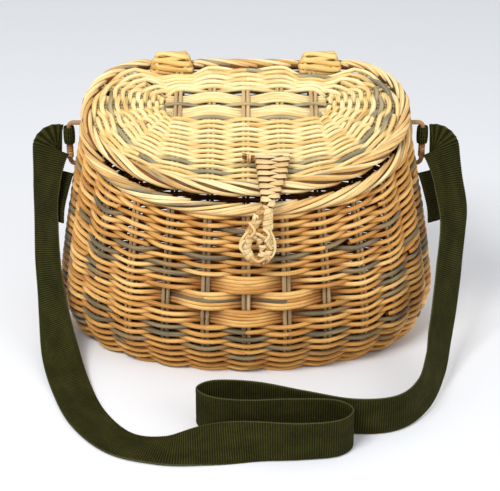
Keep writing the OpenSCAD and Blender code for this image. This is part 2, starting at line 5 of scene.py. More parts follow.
import bpy
import numpy as np
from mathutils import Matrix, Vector

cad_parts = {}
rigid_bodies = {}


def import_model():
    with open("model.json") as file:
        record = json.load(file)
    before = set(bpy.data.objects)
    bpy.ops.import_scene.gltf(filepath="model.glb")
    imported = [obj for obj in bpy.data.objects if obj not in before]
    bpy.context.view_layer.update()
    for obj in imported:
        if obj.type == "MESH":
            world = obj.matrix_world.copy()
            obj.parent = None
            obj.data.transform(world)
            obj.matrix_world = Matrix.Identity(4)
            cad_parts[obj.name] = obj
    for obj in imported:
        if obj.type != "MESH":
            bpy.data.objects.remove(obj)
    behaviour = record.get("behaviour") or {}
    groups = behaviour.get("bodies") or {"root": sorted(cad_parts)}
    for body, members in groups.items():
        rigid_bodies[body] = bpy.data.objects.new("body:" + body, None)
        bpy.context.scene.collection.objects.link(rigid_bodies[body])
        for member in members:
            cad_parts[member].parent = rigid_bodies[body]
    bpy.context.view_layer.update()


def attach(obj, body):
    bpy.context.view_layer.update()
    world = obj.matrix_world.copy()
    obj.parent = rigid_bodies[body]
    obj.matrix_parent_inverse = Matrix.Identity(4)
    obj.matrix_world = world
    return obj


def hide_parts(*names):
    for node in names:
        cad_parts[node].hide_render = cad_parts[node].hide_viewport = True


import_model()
MM = 0.001
rng = np.random.default_rng(7)

# Shape of the basket, as in the part's source, in millimetres

WIDE_Y = 36.0
LID_TILT = math.radians(18.0)
RIM_FRONT_H = 186.0
RIM_FRONT_Y = 97.0
BORDER_R = 6.5
FRONT_POWER = 2.1
FLAT_PART = 0.56
N_FLAT, N_CORNER, N_FRONT = 6, 7, 24
N_PLAN = N_FLAT + 2 * N_CORNER + N_FRONT
LID_LIFT = 0.4
LID_Z0 = RIM_FRONT_H + (WIDE_Y + RIM_FRONT_Y) * math.tan(LID_TILT) + LID_LIFT / math.cos(LID_TILT)


def columns(*parts):
    """One row per point. Each part is one number or one number per point."""
    return np.column_stack(np.broadcast_arrays(*parts))


def spow(v, e):
    return np.sign(v) * np.abs(v) ** e


def swell(z, z_belly, z_top, at_floor, at_belly, at_top, p_low, p_high):
    """A size that swells from the floor to the belly and draws in again to the rim."""
    low = at_belly - (at_belly - at_floor) * np.clip((z_belly - z) / z_belly, 0, 2) ** p_low
    high = at_belly - (at_belly - at_top) * np.clip((z - z_belly) / (z_top - z_belly), 0, 2) ** p_high
    return np.where(z < z_belly, low, high)


def half_w(z):
    return swell(z, z_belly=50, z_top=255, at_floor=176, at_belly=194.5, at_top=157, p_low=2.3, p_high=1.2)


def front_y(z):
    return -swell(z, z_belly=70, z_top=200, at_floor=84, at_belly=105.5, at_top=95, p_low=2.3, p_high=1.5)


def back_y(z):
    return swell(z, z_belly=90, z_top=255, at_floor=88, at_belly=111, at_top=107, p_low=2.3, p_high=1.5)


def plan(i, a, yf, yb):
    """Points of the plan at the positions i, counter-clockwise from the right end of the straight back."""
    i = np.mod(i, N_PLAN)
    xs, b, f = FLAT_PART * a, yb - WIDE_Y, WIDE_Y - yf
    r = a - xs
    j, k, m = i - N_FLAT, i - N_FLAT - N_CORNER, i - N_FLAT - N_CORNER - N_FRONT
    left = np.radians(90 + 90 * j / N_CORNER)
    low = np.radians(180 + 180 * k / N_FRONT)
    right = np.radians(90 * m / N_CORNER)
    zone = [j < 0, k < 0, m < 0]
    x = np.select(zone, [xs - 2 * xs * i / N_FLAT, -xs + r * np.cos(left),
                         a * spow(np.cos(low), 2 / FRONT_POWER)], xs + r * np.cos(right))
    y = np.select(zone, [yb + 0 * i, WIDE_Y + b * np.sin(left),
                         WIDE_Y + f * spow(np.sin(low), 2 / FRONT_POWER)], WIDE_Y + b * np.sin(right))
    return x, y


def body(i, z, inset):
    return plan(i, half_w(z) - inset, front_y(z) + inset, back_y(z) - inset)


def rim_z(y):
    return RIM_FRONT_H + (y + RIM_FRONT_Y) * math.tan(LID_TILT)


def rim_height(i, drop):
    """Height of the body at the positions i where it meets the rim's plane, less drop, found in rounds."""
    z = 200.0 + 0 * i
    for _ in range(5):
        z = rim_z(body(i, z, 0)[1]) - drop
    return z


def length_table(points, closed=False):
    """Running length along a line of points, starting at 0."""
    if closed:
        points = np.vstack([points, points[:1]])
    return np.concatenate([[0], np.cumsum(np.linalg.norm(np.diff(points, axis=0), axis=1))])


def resample(path, count):
    """The line path again, with count points at even steps along it."""
    run = length_table(path)
    at = np.linspace(0, run[-1], count)
    return interp_rows(at, run, path)


def interp_rows(at, run, rows):
    return np.column_stack([np.interp(at, run, part) for part in rows.T])


# Positions round the body run from 0 at the middle of the front, by length at the belly
BELLY_Z = 60.0
belly_at = np.linspace(0, N_PLAN, 1600, endpoint=False) + N_FLAT + N_CORNER + N_FRONT / 2
belly_run = length_table(columns(*body(belly_at, BELLY_Z + 0 * belly_at, 0)), closed=True)


def around(u):
    """Plan position for the share u of the way round."""
    u = np.asarray(u, float)
    turns = np.floor(u)
    at = np.interp((u - turns) * belly_run[-1], belly_run, np.append(belly_at, belly_at[0] + N_PLAN))
    return at + turns * N_PLAN


def from_lid(p):
    """Points given in the lid's plane (right, up the slope, out of it) in the object's frame."""
    p = np.atleast_2d(p).astype(float)
    c, s = math.cos(LID_TILT), math.sin(LID_TILT)
    return columns(p[:, 0], WIDE_Y + p[:, 1] * c - p[:, 2] * s, LID_Z0 + p[:, 1] * s + p[:, 2] * c)


def lid_point(x, s, n):
    return from_lid(columns(x, s, n))


LID_OUT = np.array([0.0, -math.sin(LID_TILT), math.cos(LID_TILT)])
UPWARD = [0, 0, 1.0]
FORWARD = [0, -1.0, 0]

# Mesh building: every rod is a swept tube with its own tone and its own coordinates along the grain

# Half the width of the grain's coordinates across a rod
GRAIN_R = 2.2


def add_object(name, data):
    obj = bpy.data.objects.new(name, data)
    bpy.context.scene.collection.objects.link(obj)
    return obj


class Rods:
    """Gathers swept rods and strips into one mesh piece."""

    def __init__(self):
        self.verts, self.faces, self.grain, self.look, self.count = [], [], [], [], 0

    def add(self, rings, grain, look, caps):
        """rings is (n, m, 3). The rings are closed loops of m points."""
        n, m = rings.shape[:2]
        base = self.count + np.arange(n * m).reshape(n, m)
        nxt = np.roll(base, -1, axis=1)
        quads = np.stack([base[:-1], nxt[:-1], nxt[1:], base[1:]], axis=-1).reshape(-1, 4)
        self.faces.extend(quads.tolist())
        if caps:
            self.faces.append(base[0, ::-1].tolist())
            self.faces.append(base[-1].tolist())
        self.verts.append(rings.reshape(-1, 3))
        self.grain.append(grain.reshape(-1, 3))
        self.look.append(look.reshape(-1, 3))
        self.count += n * m

    def piece(self, name, body_name, slot, material, *replaced):
        """Makes the mesh. Its look attribute holds each rod's tone and how much it lies in shade."""
        mesh = bpy.data.meshes.new(name)
        mesh.from_pydata((np.vstack(self.verts) * MM).tolist(), [], self.faces)
        for label, data in (("grain", self.grain), ("look", self.look)):
            values = np.vstack(data).astype(np.float32)
            mesh.attributes.new(label, "FLOAT_VECTOR", "POINT").data.foreach_set("vector", values.ravel())
        mesh.polygons.foreach_set("use_smooth", [True] * len(mesh.polygons))
        mesh.materials.append(material)
        obj = add_object(name, mesh)
        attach(obj, body_name)
        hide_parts(*replaced)
        return obj


def unit_rows(v):
    return v / np.maximum(np.linalg.norm(v, axis=1, keepdims=True), 1e-9)


def tangents(p, loop=False):
    return unit_rows(np.roll(p, -1, axis=0) - np.roll(p, 1, axis=0) if loop else np.gradient(p, axis=0))


def sweep(rods, path, up, side_r, up_r=None, tone=0.5, sides=6, loop=False, shade=0.0):
    """Sweeps an oval along path. up is one vector or one per point; side_r and up_r its half sizes."""
    path = np.asarray(path, float)
    n = len(path)
    t = tangents(path, loop)
    side = unit_rows(np.cross(np.broadcast_to(np.asarray(up, float), (n, 3)), t))
    top = np.cross(t, side)
    a = np.broadcast_to(np.asarray(side_r, float), (n,))[:, None, None]
    b = a if up_r is None else np.broadcast_to(np.asarray(up_r, float), (n,))[:, None, None]
    turn = 2 * np.pi * (np.arange(sides) + 0.5) / sides
    c, s = np.cos(turn)[:, None], np.sin(turn)[:, None]
    rings = path[:, None] + side[:, None] * a * c + top[:, None] * b * s
    along = length_table(path)
    shade = np.broadcast_to(np.asarray(shade, float), (n,))
    if loop:
        rings = np.concatenate([rings, rings[:1]])
        along = np.append(along, along[-1] + np.linalg.norm(path[0] - path[-1]))
        shade = np.append(shade, shade[0])
    grain = np.empty(rings.shape)
    grain[..., 0] = (along + rng.uniform(0, 4000))[:, None]
    grain[..., 1] = GRAIN_R * np.cos(turn)
    grain[..., 2] = GRAIN_R * np.sin(turn)
    look = np.zeros(rings.shape)
    look[..., 0] = tone
    look[..., 1] = shade[:, None]
    rods.add(rings, grain, look, caps=not loop)


def strip(rods, path, up, half_width, half_thick, tone, shade=0.0, loop=False):
    """A strip of cane or a rod, with a rounder section than the plain rods have."""
    sweep(rods, path, up, half_width, half_thick, tone=tone, sides=8, loop=loop, shade=shade)


# Materials

SHADE_COLOUR = (0.36, 0.22, 0.12, 1)
GRAIN_DEPTH = 0.0004


class Value:
    """The output of a shader node. Sums and products of values add the nodes that work them out."""

    def __init__(self, tree, socket):
        self.tree, self.socket = tree, socket

    def maths(self, kind, other=0, clamp=False):
        node = self.tree.nodes.new("ShaderNodeMath")
        node.operation = kind
        node.use_clamp = clamp
        feed(self, node.inputs[0])
        feed(other, node.inputs[1])
        return Value(self.tree, node.outputs[0])

    def __add__(self, other):
        return self.maths("ADD", other)

    def __sub__(self, other):
        return self.maths("SUBTRACT", other)

    def __mul__(self, other):
        return self.maths("MULTIPLY", other)


def feed(value, socket):
    """Gives a socket a plain value or the output of another node."""
    if isinstance(value, Value):
        value.tree.links.new(value.socket, socket)
    else:
        socket.default_value = value


def nodes_of(name):
    mat = bpy.data.materials.new(name)
    mat.use_nodes = True
    return mat, mat.node_tree, mat.node_tree.nodes["Principled BSDF"].inputs


def mix(kind, factor, a, b):
    node = a.tree.nodes.new("ShaderNodeMix")
    node.data_type = "RGBA"
    node.blend_type = kind
    for value, place in ((factor, 0), (a, 6), (b, 7)):
        feed(value, node.inputs[place])
    return Value(a.tree, node.outputs[2])


def ramp(factor, stops):
    """A colour read off stops, each a place from 0 to 1 and a colour."""
    node = factor.tree.nodes.new("ShaderNodeValToRGB")
    while len(node.color_ramp.elements) < len(stops):
        node.color_ramp.elements.new(0.5)
    for element, (place, colour) in zip(node.color_ramp.elements, stops):
        element.position = place
        element.color = (*colour, 1)
    feed(factor, node.inputs[0])
    return Value(factor.tree, node.outputs[0])


def noise(vector, scale, detail, rough):
    """Noise with its own scale along each axis of vector."""
    stretch = vector.tree.nodes.new("ShaderNodeMapping")
    stretch.inputs["Scale"].default_value = scale
    feed(vector, stretch.inputs["Vector"])
    node = vector.tree.nodes.new("ShaderNodeTexNoise")
    node.inputs["Scale"].default_value = 1.0
    node.inputs["Detail"].default_value = detail
    node.inputs["Roughness"].default_value = rough
    feed(Value(vector.tree, stretch.outputs[0]), node.inputs["Vector"])
    return Value(vector.tree, node.outputs["Fac"])


def attribute(tree, name):
    node = tree.nodes.new("ShaderNodeAttribute")
    node.attribute_name = name
    return Value(tree, node.outputs["Vector"])


def separate(vector):
    node = vector.tree.nodes.new("ShaderNodeSeparateXYZ")
    feed(vector, node.inputs[0])
    return [Value(vector.tree, part) for part in node.outputs]


def bump(shader, height, strength, distance):
    node = height.tree.nodes.new("ShaderNodeBump")
    node.inputs["Strength"].default_value = strength
    node.inputs["Distance"].default_value = distance
    feed(height, node.inputs["Height"])
    feed(Value(height.tree, node.outputs[0]), shader["Normal"])


def rod_material(name, stops, roughness, grain_dark=0.7, relief=0.45, blotch=0.5):
    """Peeled willow or cane: a tone for each rod, streaks along the grain, blotches and painted shade."""
    mat, tree, shader = nodes_of(name)
    grain = attribute(tree, "grain")
    tone, shade, _ = separate(attribute(tree, "look"))
    streak = noise(grain, (0.035, 0.9, 0.9), 5.0, 0.65)
    fine = noise(grain, (0.16, 3.0, 3.0), 3.0, 0.6)
    patch = noise(grain, (0.022, 0.12, 0.12), 2.0, 0.5)
    colour = ramp(tone.maths("ADD", (patch - 0.5) * (2 * blotch), clamp=True), stops)
    dark = ramp(streak, [(0.34, (0.50, 0.36, 0.24)), (0.56, (1.0, 1.0, 1.0))])
    colour = mix("MULTIPLY", grain_dark, colour, dark)
    fleck = ramp(fine, [(0.27, (0.55, 0.42, 0.30)), (0.40, (1.0, 1.0, 1.0))])
    colour = mix("MULTIPLY", 0.6, colour, fleck)
    # Painted shade: the shade value in the look attribute darkens the colour towards SHADE_COLOUR
    colour = mix("MULTIPLY", shade.maths("MULTIPLY", 1.0, clamp=True), colour, SHADE_COLOUR)
    feed(colour, shader["Base Color"])
    feed(streak * 0.25 + (roughness - 0.12), shader["Roughness"])
    feed(0.25, shader["Specular IOR Level"])
    bump(shader, streak + fine * 0.5, relief, GRAIN_DEPTH)
    return mat


# Stops run from the palest tone to the darkest or greyest
WALL_STOPS = [(0.0, (0.92, 0.60, 0.22)), (0.30, (0.78, 0.43, 0.12)), (0.58, (0.58, 0.27, 0.06)),
              (0.74, (0.42, 0.23, 0.08)), (0.84, (0.30, 0.23, 0.12)), (1.0, (0.16, 0.13, 0.08))]
LID_STOPS = [(0.0, (1.0, 0.90, 0.50)), (0.40, (1.0, 0.79, 0.36)), (0.66, (0.90, 0.60, 0.21)),
             (0.82, (0.52, 0.45, 0.26)), (1.0, (0.28, 0.26, 0.17))]
CANE_STOPS = [(0.0, (0.97, 0.80, 0.45)), (0.5, (0.86, 0.60, 0.26)), (0.85, (0.58, 0.31, 0.10)),
              (1.0, (0.30, 0.13, 0.05))]
BORDER_STOPS = [(0.0, (1.0, 0.86, 0.48)), (0.40, (0.94, 0.66, 0.28)), (0.75, (0.66, 0.37, 0.11)),
                (0.88, (0.44, 0.35, 0.19)), (1.0, (0.26, 0.21, 0.12))]
HINGE_STOPS = [(0.0, (0.94, 0.70, 0.28)), (0.5, (0.86, 0.57, 0.19)), (1.0, (0.60, 0.35, 0.10))]
STICK_STOPS = [(0.0, (0.72, 0.52, 0.27)), (0.5, (0.52, 0.37, 0.19)), (1.0, (0.27, 0.22, 0.14))]
BARK_STOPS = [(0.0, (0.52, 0.28, 0.10)), (0.6, (0.30, 0.13, 0.04)), (1.0, (0.14, 0.06, 0.02))]
DARK_STOPS = [(0.0, (0.66, 0.40, 0.15)), (0.5, (0.46, 0.24, 0.08)), (1.0, (0.26, 0.12, 0.04))]
willow_wall = rod_material("willow_tan", WALL_STOPS, 0.50)
willow_lid = rod_material("willow_cream", LID_STOPS, 0.46)
willow_stick = rod_material("willow_grey", STICK_STOPS, 0.55)
border_willow = rod_material("willow_border", BORDER_STOPS, 0.48)
cane = rod_material("split_cane", CANE_STOPS, 0.42, grain_dark=0.35, relief=0.3, blotch=0.25)
hinge_cane = rod_material("yellow_cane", HINGE_STOPS, 0.45, grain_dark=0.4, relief=0.3, blotch=0.3)
bark = rod_material("brown_bark", BARK_STOPS, 0.6)
dark_cane = rod_material("brown_cane", DARK_STOPS, 0.42)


def willow_tone(grey):
    """The tone of one rod: mostly pale to tan, and grey-brown for the share grey of the rods."""
    pale = rng.uniform(0.05, 0.62)
    dark = rng.uniform(0.80, 1.0)
    return dark if rng.uniform(0, 1) < grey else pale


# Weaving


def window(r, start, stop, total, soft=0.9):
    """1 between the ribs start and stop, counted round a ring of total ribs, and 0 a bay beyond them."""
    half, mid = (stop - start) / 2, (start + stop) / 2
    d = np.abs(np.mod(r - mid + total / 2, total) - total / 2) - half
    s = np.clip(1 - d / soft, 0, 1)
    return s * s * (3 - 2 * s)


class Weave:
    """Rows of rods over and under ribs. surface(r, f) gives points for rib position r and height share f."""

    # In bays: how far a rod runs past its join, and the length over which it tucks in there
    LEAD, TUCK = 0.75, 0.9
    # In bays: how far a packing pair runs past its last rib, and the bulge of its turn
    PAST, TURN = 0.30, 0.16

    def __init__(self, surface, ribs, rows, swing, rod_r, per_bay, side_rule=None, part_rule=None,
                 dirt=0.75, facing=1):
        """side_rule and part_rule give a row's side at a rib and its share of the height."""
        self.surface, self.ribs, self.swing, self.rod_r, self.per_bay = surface, ribs, swing, rod_r, per_bay
        self.rows = [span for _, span in rows]
        # Strength of the painted shade on rods where they pass inside the ribs
        self.dirt, self.facing = dirt, facing
        self.part = [part_rule(k) if part_rule else 1.0 for k in range(len(rows))]
        side_rule = side_rule or (lambda row, rib: 1 if (row + rib) % 2 else -1)
        self.sides = np.array([[side_rule(k, i) for i in range(ribs)] for k in range(len(rows))], float)

    def shares(self, r, row):
        """Height share of a row at rib positions r, and the height of one row there."""
        w = np.array([part * (np.ones_like(r) if s is None else window(r, *s, self.ribs))
                      for s, part in zip(self.rows, self.part)])
        total = w.sum(axis=0)
        return (w[:row].sum(axis=0) + 0.5 * w[row]) / total, 1 / total

    def stout(self, r):
        """Rods are a little thicker round the back, which narrows the gaps there."""
        from_back = np.abs(np.mod(r, self.ribs) - self.ribs / 2) / self.ribs
        return 1 + 0.14 * np.clip((0.36 - from_back) / 0.1, 0, 1)

    def offset(self, row, r):
        """Where a row passes, from 1 outside its ribs to -1 inside them."""
        i = np.floor(r).astype(int)
        t = r - i
        a, b = self.sides[row][i % self.ribs], self.sides[row][(i + 1) % self.ribs]
        s = (1 - np.cos(np.pi * t)) / 2
        return a * (1 - s) + b * s

    def dirt_at(self, off):
        """Painted shade of a rod, darkest where it passes inside the ribs."""
        return np.clip(0.35 * self.dirt - self.dirt * off / self.swing, 0, 0.9)

    def place(self, r, f, off):
        """Points at the height shares f, moved out by off and kept above the ground, and their normals."""
        e = 0.02
        p = self.surface(r, f)
        du = self.surface(r + e, f) - self.surface(r - e, f)
        df = self.surface(r, f + 0.01) - self.surface(r, f - 0.01)
        normal = unit_rows(np.cross(du, df)) * self.facing
        p = p + normal * off[:, None]
        p[:, 2] = np.maximum(p[:, 2], self.rod_r + 0.1)
        return p, normal

    def full_row(self, rods, row, tone_of, joins):
        """A ring of one or more rods, which overlap and tuck inwards at their ends."""
        cuts = np.sort(rng.choice(self.ribs, joins, replace=False)).astype(float)
        for n, start in enumerate(cuts):
            stop = cuts[n + 1] if n + 1 < joins else cuts[0] + self.ribs
            count = int((stop - start + 2 * self.LEAD) * self.per_bay)
            r = np.linspace(start - self.LEAD, stop + self.LEAD, count)
            f, pitch = self.shares(r, row)
            off = self.offset(row, r) * self.swing
            from_end = np.minimum(r - r[0], r[-1] - r)
            tuck = np.clip(1 - from_end / self.TUCK, 0, 1)
            off = off - tuck * self.swing * 0.9
            wob = 0.25 * np.sin(r * 1.7 + rng.uniform(0, 6.3)) + 0.2 * np.sin(r * 4.1 + rng.uniform(0, 6.3))
            f = f + wob * pitch * 0.25
            p, normal = self.place(r, f, off)
            size = self.rod_r * rng.uniform(0.93, 1.07) * (1 - 0.25 * tuck) * self.stout(r)
            sweep(rods, p, normal, size, tone=tone_of(), shade=self.dirt_at(off))

    def packing_pair(self, rods, row, tone_of):
        """One rod that runs out along a row and back along the next, round a rib at each end."""
        start, stop = self.rows[row]
        count = int((stop - start + 2 * self.PAST) * self.per_bay)
        r = np.linspace(start - self.PAST, stop + self.PAST, count)
        there, pitch = self.shares(r, row)
        back, _ = self.shares(r, row + 1)
        off = self.offset(row, r) * self.swing
        off_back = self.offset(row + 1, r) * self.swing
        phi = np.linspace(0.25, 0.75, 3) * np.pi
        turn_r = r[-1] + self.TURN * np.sin(phi)
        blend = (1 - np.cos(phi)) / 2
        turn_f = there[-1] * (1 - blend) + back[-1] * blend
        turn_off = off[-1] * (1 - blend) + off_back[-1] * blend
        rr = np.concatenate([r, turn_r, r[::-1]])
        ff = np.concatenate([there, turn_f, back[::-1]])
        oo = np.concatenate([off, turn_off, off_back[::-1]])
        p, normal = self.place(rr, ff, oo)
        size = self.rod_r * rng.uniform(0.93, 1.05) * self.stout(rr)
        sweep(rods, p, normal, size, tone=tone_of(), shade=self.dirt_at(oo))

    def weave(self, rods, tone_of, joins):
        """Lays every row. tone_of() draws the tone of one rod."""
        row = 0
        while row < len(self.rows):
            if self.rows[row] is None:
                self.full_row(rods, row, tone_of, joins)
                row += 1
            else:
                self.packing_pair(rods, row, tone_of)
                row += 2


# Wall of the basket

STAKES = 24
WALL_MID = 6.3
WALL_SWING = 4.0
ROD_R = 2.22
WALL_DROP = 11.0
FOOT_Z = 0.3
STAKE_R = 2.1
# Half the distance between the two stakes of a pair, as a share of a bay
STAKE_APART = 0.058
LOW_ROWS, BAND_ROWS, FULL_ROWS = 15, 5, 45
BAND_SQUEEZE = 0.87
WALL_PACKING = {12: (4, 20), 20: (7, 17), 26: (5, 19), 31: (8, 16), 35: (3, 21), 38: (6, 18), 41: (4, 20),
                43: (7, 17)}


def wall_surface(r, f):
    i = around(np.asarray(r) / STAKES)
    top = rim_height(i, WALL_DROP)
    z = FOOT_Z + f * (top - FOOT_Z)
    return columns(*body(i, z, WALL_MID), z)


def row_list(count, packing):
    """Rows from the inner or lower edge: (number, None) goes all round, (number, (from, to)) packs bays."""
    rows = []
    for number in range(count):
        if number in packing:
            rows += [(number, packing[number])] * 2
        rows.append((number, None))
    return rows


def band_of(row):
    """0 to 2 for the rows of the three packed bands on the front, from the lowest, or None."""
    number, span = row
    band = (number - LOW_ROWS) // BAND_ROWS
    return band if span is None and 0 <= band < 3 else None


WALL_ROWS = row_list(FULL_ROWS, WALL_PACKING)


def wall_side(k, rib):
    """1 where row k passes outside a stake. A band's rods all pass outside the same stakes."""
    band, near = band_of(WALL_ROWS[k]), rib if rib <= STAKES // 2 else rib - STAKES
    if band is not None and abs(near) <= (2 if band == 1 else 1):
        return 1 if near % 2 == band % 2 else -1
    return 1 if (k + rib) % 2 else -1


def wall_part(k):
    return BAND_SQUEEZE if band_of(WALL_ROWS[k]) is not None else 1.0


rods = Rods()
wall = Weave(wall_surface, STAKES, WALL_ROWS, WALL_SWING, ROD_R, 6, wall_side, wall_part)
wall.weave(rods, lambda: willow_tone(0.22), joins=4)
rods.piece("wall_weave_rods", "basket", "tan_willow", willow_wall,
           "wall_weave", "front_band_upper", "front_band_middle", "front_band_lower")

rods = Rods()
for stake in range(STAKES):
    for half in (-1, 1):
        f = np.linspace(0.012, 1.03, 22)
        line = wall_surface(stake + half * STAKE_APART + 0 * f, f)
        sweep(rods, line, UPWARD, STAKE_R * rng.uniform(0.92, 1.06), tone=rng.uniform(0, 1), shade=0.25)
rods.piece("side_stake_rods", "basket", "grey_willow", willow_stick, "side_stakes")

# Lid: ribs from the core to the border, and rows between them

CORE_HALF = 83.0
CORE_R = 21.0
CORE_S = 4.0
SLOT_S = CORE_S + 2
STICK_GAP = 34.0
PIVOT_X = 2 * STICK_GAP
LID_HALF_W = 165.0
LID_F = (84.0 + WIDE_Y) / math.cos(LID_TILT)
HINGE_S = 70.0
ROD_HALF = 98.0
HINGE_X = 76.0
HINGE_DENT = 12.0
HINGE_REACH = 32.0
BORDER_D = 2 * BORDER_R
LID_MID_N = 5.4
LID_SWING = 2.7
LID_ROD_R = 2.25
LID_STICK_R = 2.1
# Half the distance between the two sticks of a pair
PAIR_HALF = 2.3
CROSS_X = [k * STICK_GAP for k in (-2, -1, 0, 1, 2)]
END_ANGLES = (-66, -44, -22, 22, 44)
LID_RIBS = 22
LID_PACKING = {1: (14.6, 29.4), 3: (15.2, 28.8), 4: (18.5, 25.5), 5: (14.3, 29.7), 6: (17.4, 26.6),
               7: (18, 26), 8: (15.8, 28.2), 9: (17, 27)}
# Root and heading of each rib, counter-clockwise from the middle of the front
RIB_X = np.array([0, 34, 68] + [68] * 6 + [68, 34, 0, -34, -68] + [-68] * 6 + [-68, -34, 0], float)
RIB_T = np.array([-90] * 3 + list(range(-66, 45, 22)) + [90] * 5
                 + list(range(136, 247, 22)) + [270] * 3, float)


def in_slot(x, s):
    return np.maximum(np.abs(x) - CORE_HALF + CORE_R, 0) ** 2 + (s - SLOT_S) ** 2 < CORE_R ** 2


def in_lid(x, s, inset):
    a, f, b = LID_HALF_W - inset, LID_F - inset, HINGE_S + BORDER_R - inset
    front = (np.abs(x) / a) ** FRONT_POWER + (np.abs(s) / f) ** FRONT_POWER < 1
    corner = (np.maximum(np.abs(x) - ROD_HALF, 0) / (a - ROD_HALF)) ** 2 + (s / b) ** 2 < 1
    return np.where(s < 0, front, (s < b) & corner)


def in_field(x, s):
    """Inside the border, and clear of the two cane hinges."""
    dent = HINGE_DENT * np.clip(1.25 - (np.abs(np.abs(x) - HINGE_X) / HINGE_REACH) ** 2, 0, 1)
    return in_lid(x, s, BORDER_D - 1.5) & (s < HINGE_S + BORDER_R - BORDER_D + 1.5 - dent)


def reach(x, t, inside):
    """Distance from the core's middle line at x, along the heading t, to where inside stops being true."""
    lo, hi = np.zeros_like(x), np.full_like(x, 250.0)
    for _ in range(22):
        m = (lo + hi) / 2
        ok = inside(x + m * np.cos(t), CORE_S + m * np.sin(t))
        lo, hi = np.where(ok, m, lo), np.where(ok, hi, m)
    return lo


def lid_ray(r):
    r = np.mod(r, LID_RIBS)
    at = np.arange(LID_RIBS + 1)
    return np.interp(r, at, RIB_X), np.radians(np.interp(r, at, RIB_T))


def lid_surface(r, f):
    x, t = lid_ray(np.asarray(r, float))
    d0 = reach(x, t, in_slot)
    d = d0 + np.asarray(f) * (reach(x, t, in_field) - d0)
    return lid_point(x + d * np.cos(t), CORE_S + d * np.sin(t), LID_MID_N)


rods = Rods()
# The lid's rods get weaker painted shade where they pass inside its ribs.
lid = Weave(lid_surface, LID_RIBS, row_list(10, LID_PACKING), LID_SWING, LID_ROD_R, 7, dirt=0.3, facing=-1)
lid.weave(rods, lambda: willow_tone(0.16), joins=4)
rods.piece("lid_weave_rods", "lid", "tan_willow", willow_lid, "lid_weave")

rods = Rods()
for x in CROSS_X:
    ends = np.full(1, x)
    front_s = CORE_S - reach(ends, np.full(1, -math.pi / 2), lambda a, b: in_lid(a, b, BORDER_R))[0]
    for half in (-1, 1):
        line = lid_point(x + PAIR_HALF * half, np.linspace(front_s, HINGE_S - 7, 24), LID_MID_N)
        sweep(rods, line, LID_OUT, LID_STICK_R, tone=rng.uniform(0, 0.35))
rods.piece("lid_cross_stick_rods", "lid", "grey_willow", willow_stick, "lid_cross_sticks")

rods = Rods()
for side in (-1, 1):
    for angle in END_ANGLES:
        a = math.radians(angle)
        far = reach(np.full(1, PIVOT_X), np.full(1, a), lambda p, q: in_lid(p, q, BORDER_R))[0]
        for half in (-1, 1):
            d = np.linspace(18, far, 16)
            spread = PAIR_HALF * half * np.clip(d / 40, 0.35, 1)
            x = side * (PIVOT_X + d * math.cos(a) - spread * math.sin(a))
            s = CORE_S + d * math.sin(a) + spread * math.cos(a)
            size = LID_STICK_R * np.clip(d / 45, 0.5, 1)
            sweep(rods, lid_point(x, s, LID_MID_N), LID_OUT, size, tone=rng.uniform(0, 0.9))
rods.piece("lid_end_stick_rods", "lid", "grey_willow", willow_stick, "lid_end_sticks")

rods = Rods()
for s0 in (CORE_S - PAIR_HALF, CORE_S + PAIR_HALF):
    x = np.linspace(-150, 150, 60)
    below = np.where(np.abs(x) < CORE_HALF, -2.6, 0)
    sweep(rods, lid_point(x, s0, LID_MID_N + below), LID_OUT, 1.9, tone=0.75)
rods.piece("lid_spine_stick_rods", "lid", "grey_willow", willow_stick, "lid_spine_sticks")


def core_side(x, over):
    """Swing of a core rod: outside the cross sticks listed in over and inside the others."""
    knots = [-CORE_HALF - 8] + list(CROSS_X) + [CORE_HALF + 8]
    values = [-0.4] + [1.0 if k in over else -1.0 for k in range(len(CROSS_X))] + [-0.4]
    i = np.clip(np.searchsorted(knots, x) - 1, 0, len(knots) - 2)
    t = (x - np.take(knots, i)) / (np.take(knots, i + 1) - np.take(knots, i))
    s = (1 - np.cos(np.pi * t)) / 2
    return np.take(values, i) * (1 - s) + np.take(values, i + 1) * s


def core_rod(rods, s0, over, tone, size):
    half = CORE_HALF - 2
    x = np.linspace(-half, half, 80)
    n = LID_MID_N + LID_SWING * core_side(x, over)
    bow = 0.6 * np.cos(x / half * math.pi / 2) * np.sign(s0 - CORE_S)
    shade = np.clip(-(n - LID_MID_N) / 12, 0, 1)
    sweep(rods, lid_point(x, s0 + bow, n), LID_OUT, size, tone=tone, shade=shade)


for name, sign in (("lid_band_back", 1), ("lid_band_front", -1)):
    rods = Rods()
    for k in range(4):
        core_rod(rods, CORE_S + sign * (4.2 + 3.9 * k), (1, 3), float(rng.uniform(0.05, 0.5)), 1.95)
    rods.piece(name + "_rods", "lid", "tan_willow", willow_lid, name)
rods = Rods()
core_rod(rods, CORE_S, (0, 2, 4), 0.93, 1.9)
rods.piece("lid_core_rod_grey", "lid", "grey_willow", willow_lid, "lid_core_rod")


# Rolled borders: long strands that climb out of the weave, roll over the top and end in a slanted cut

STRAND_R = 1.85


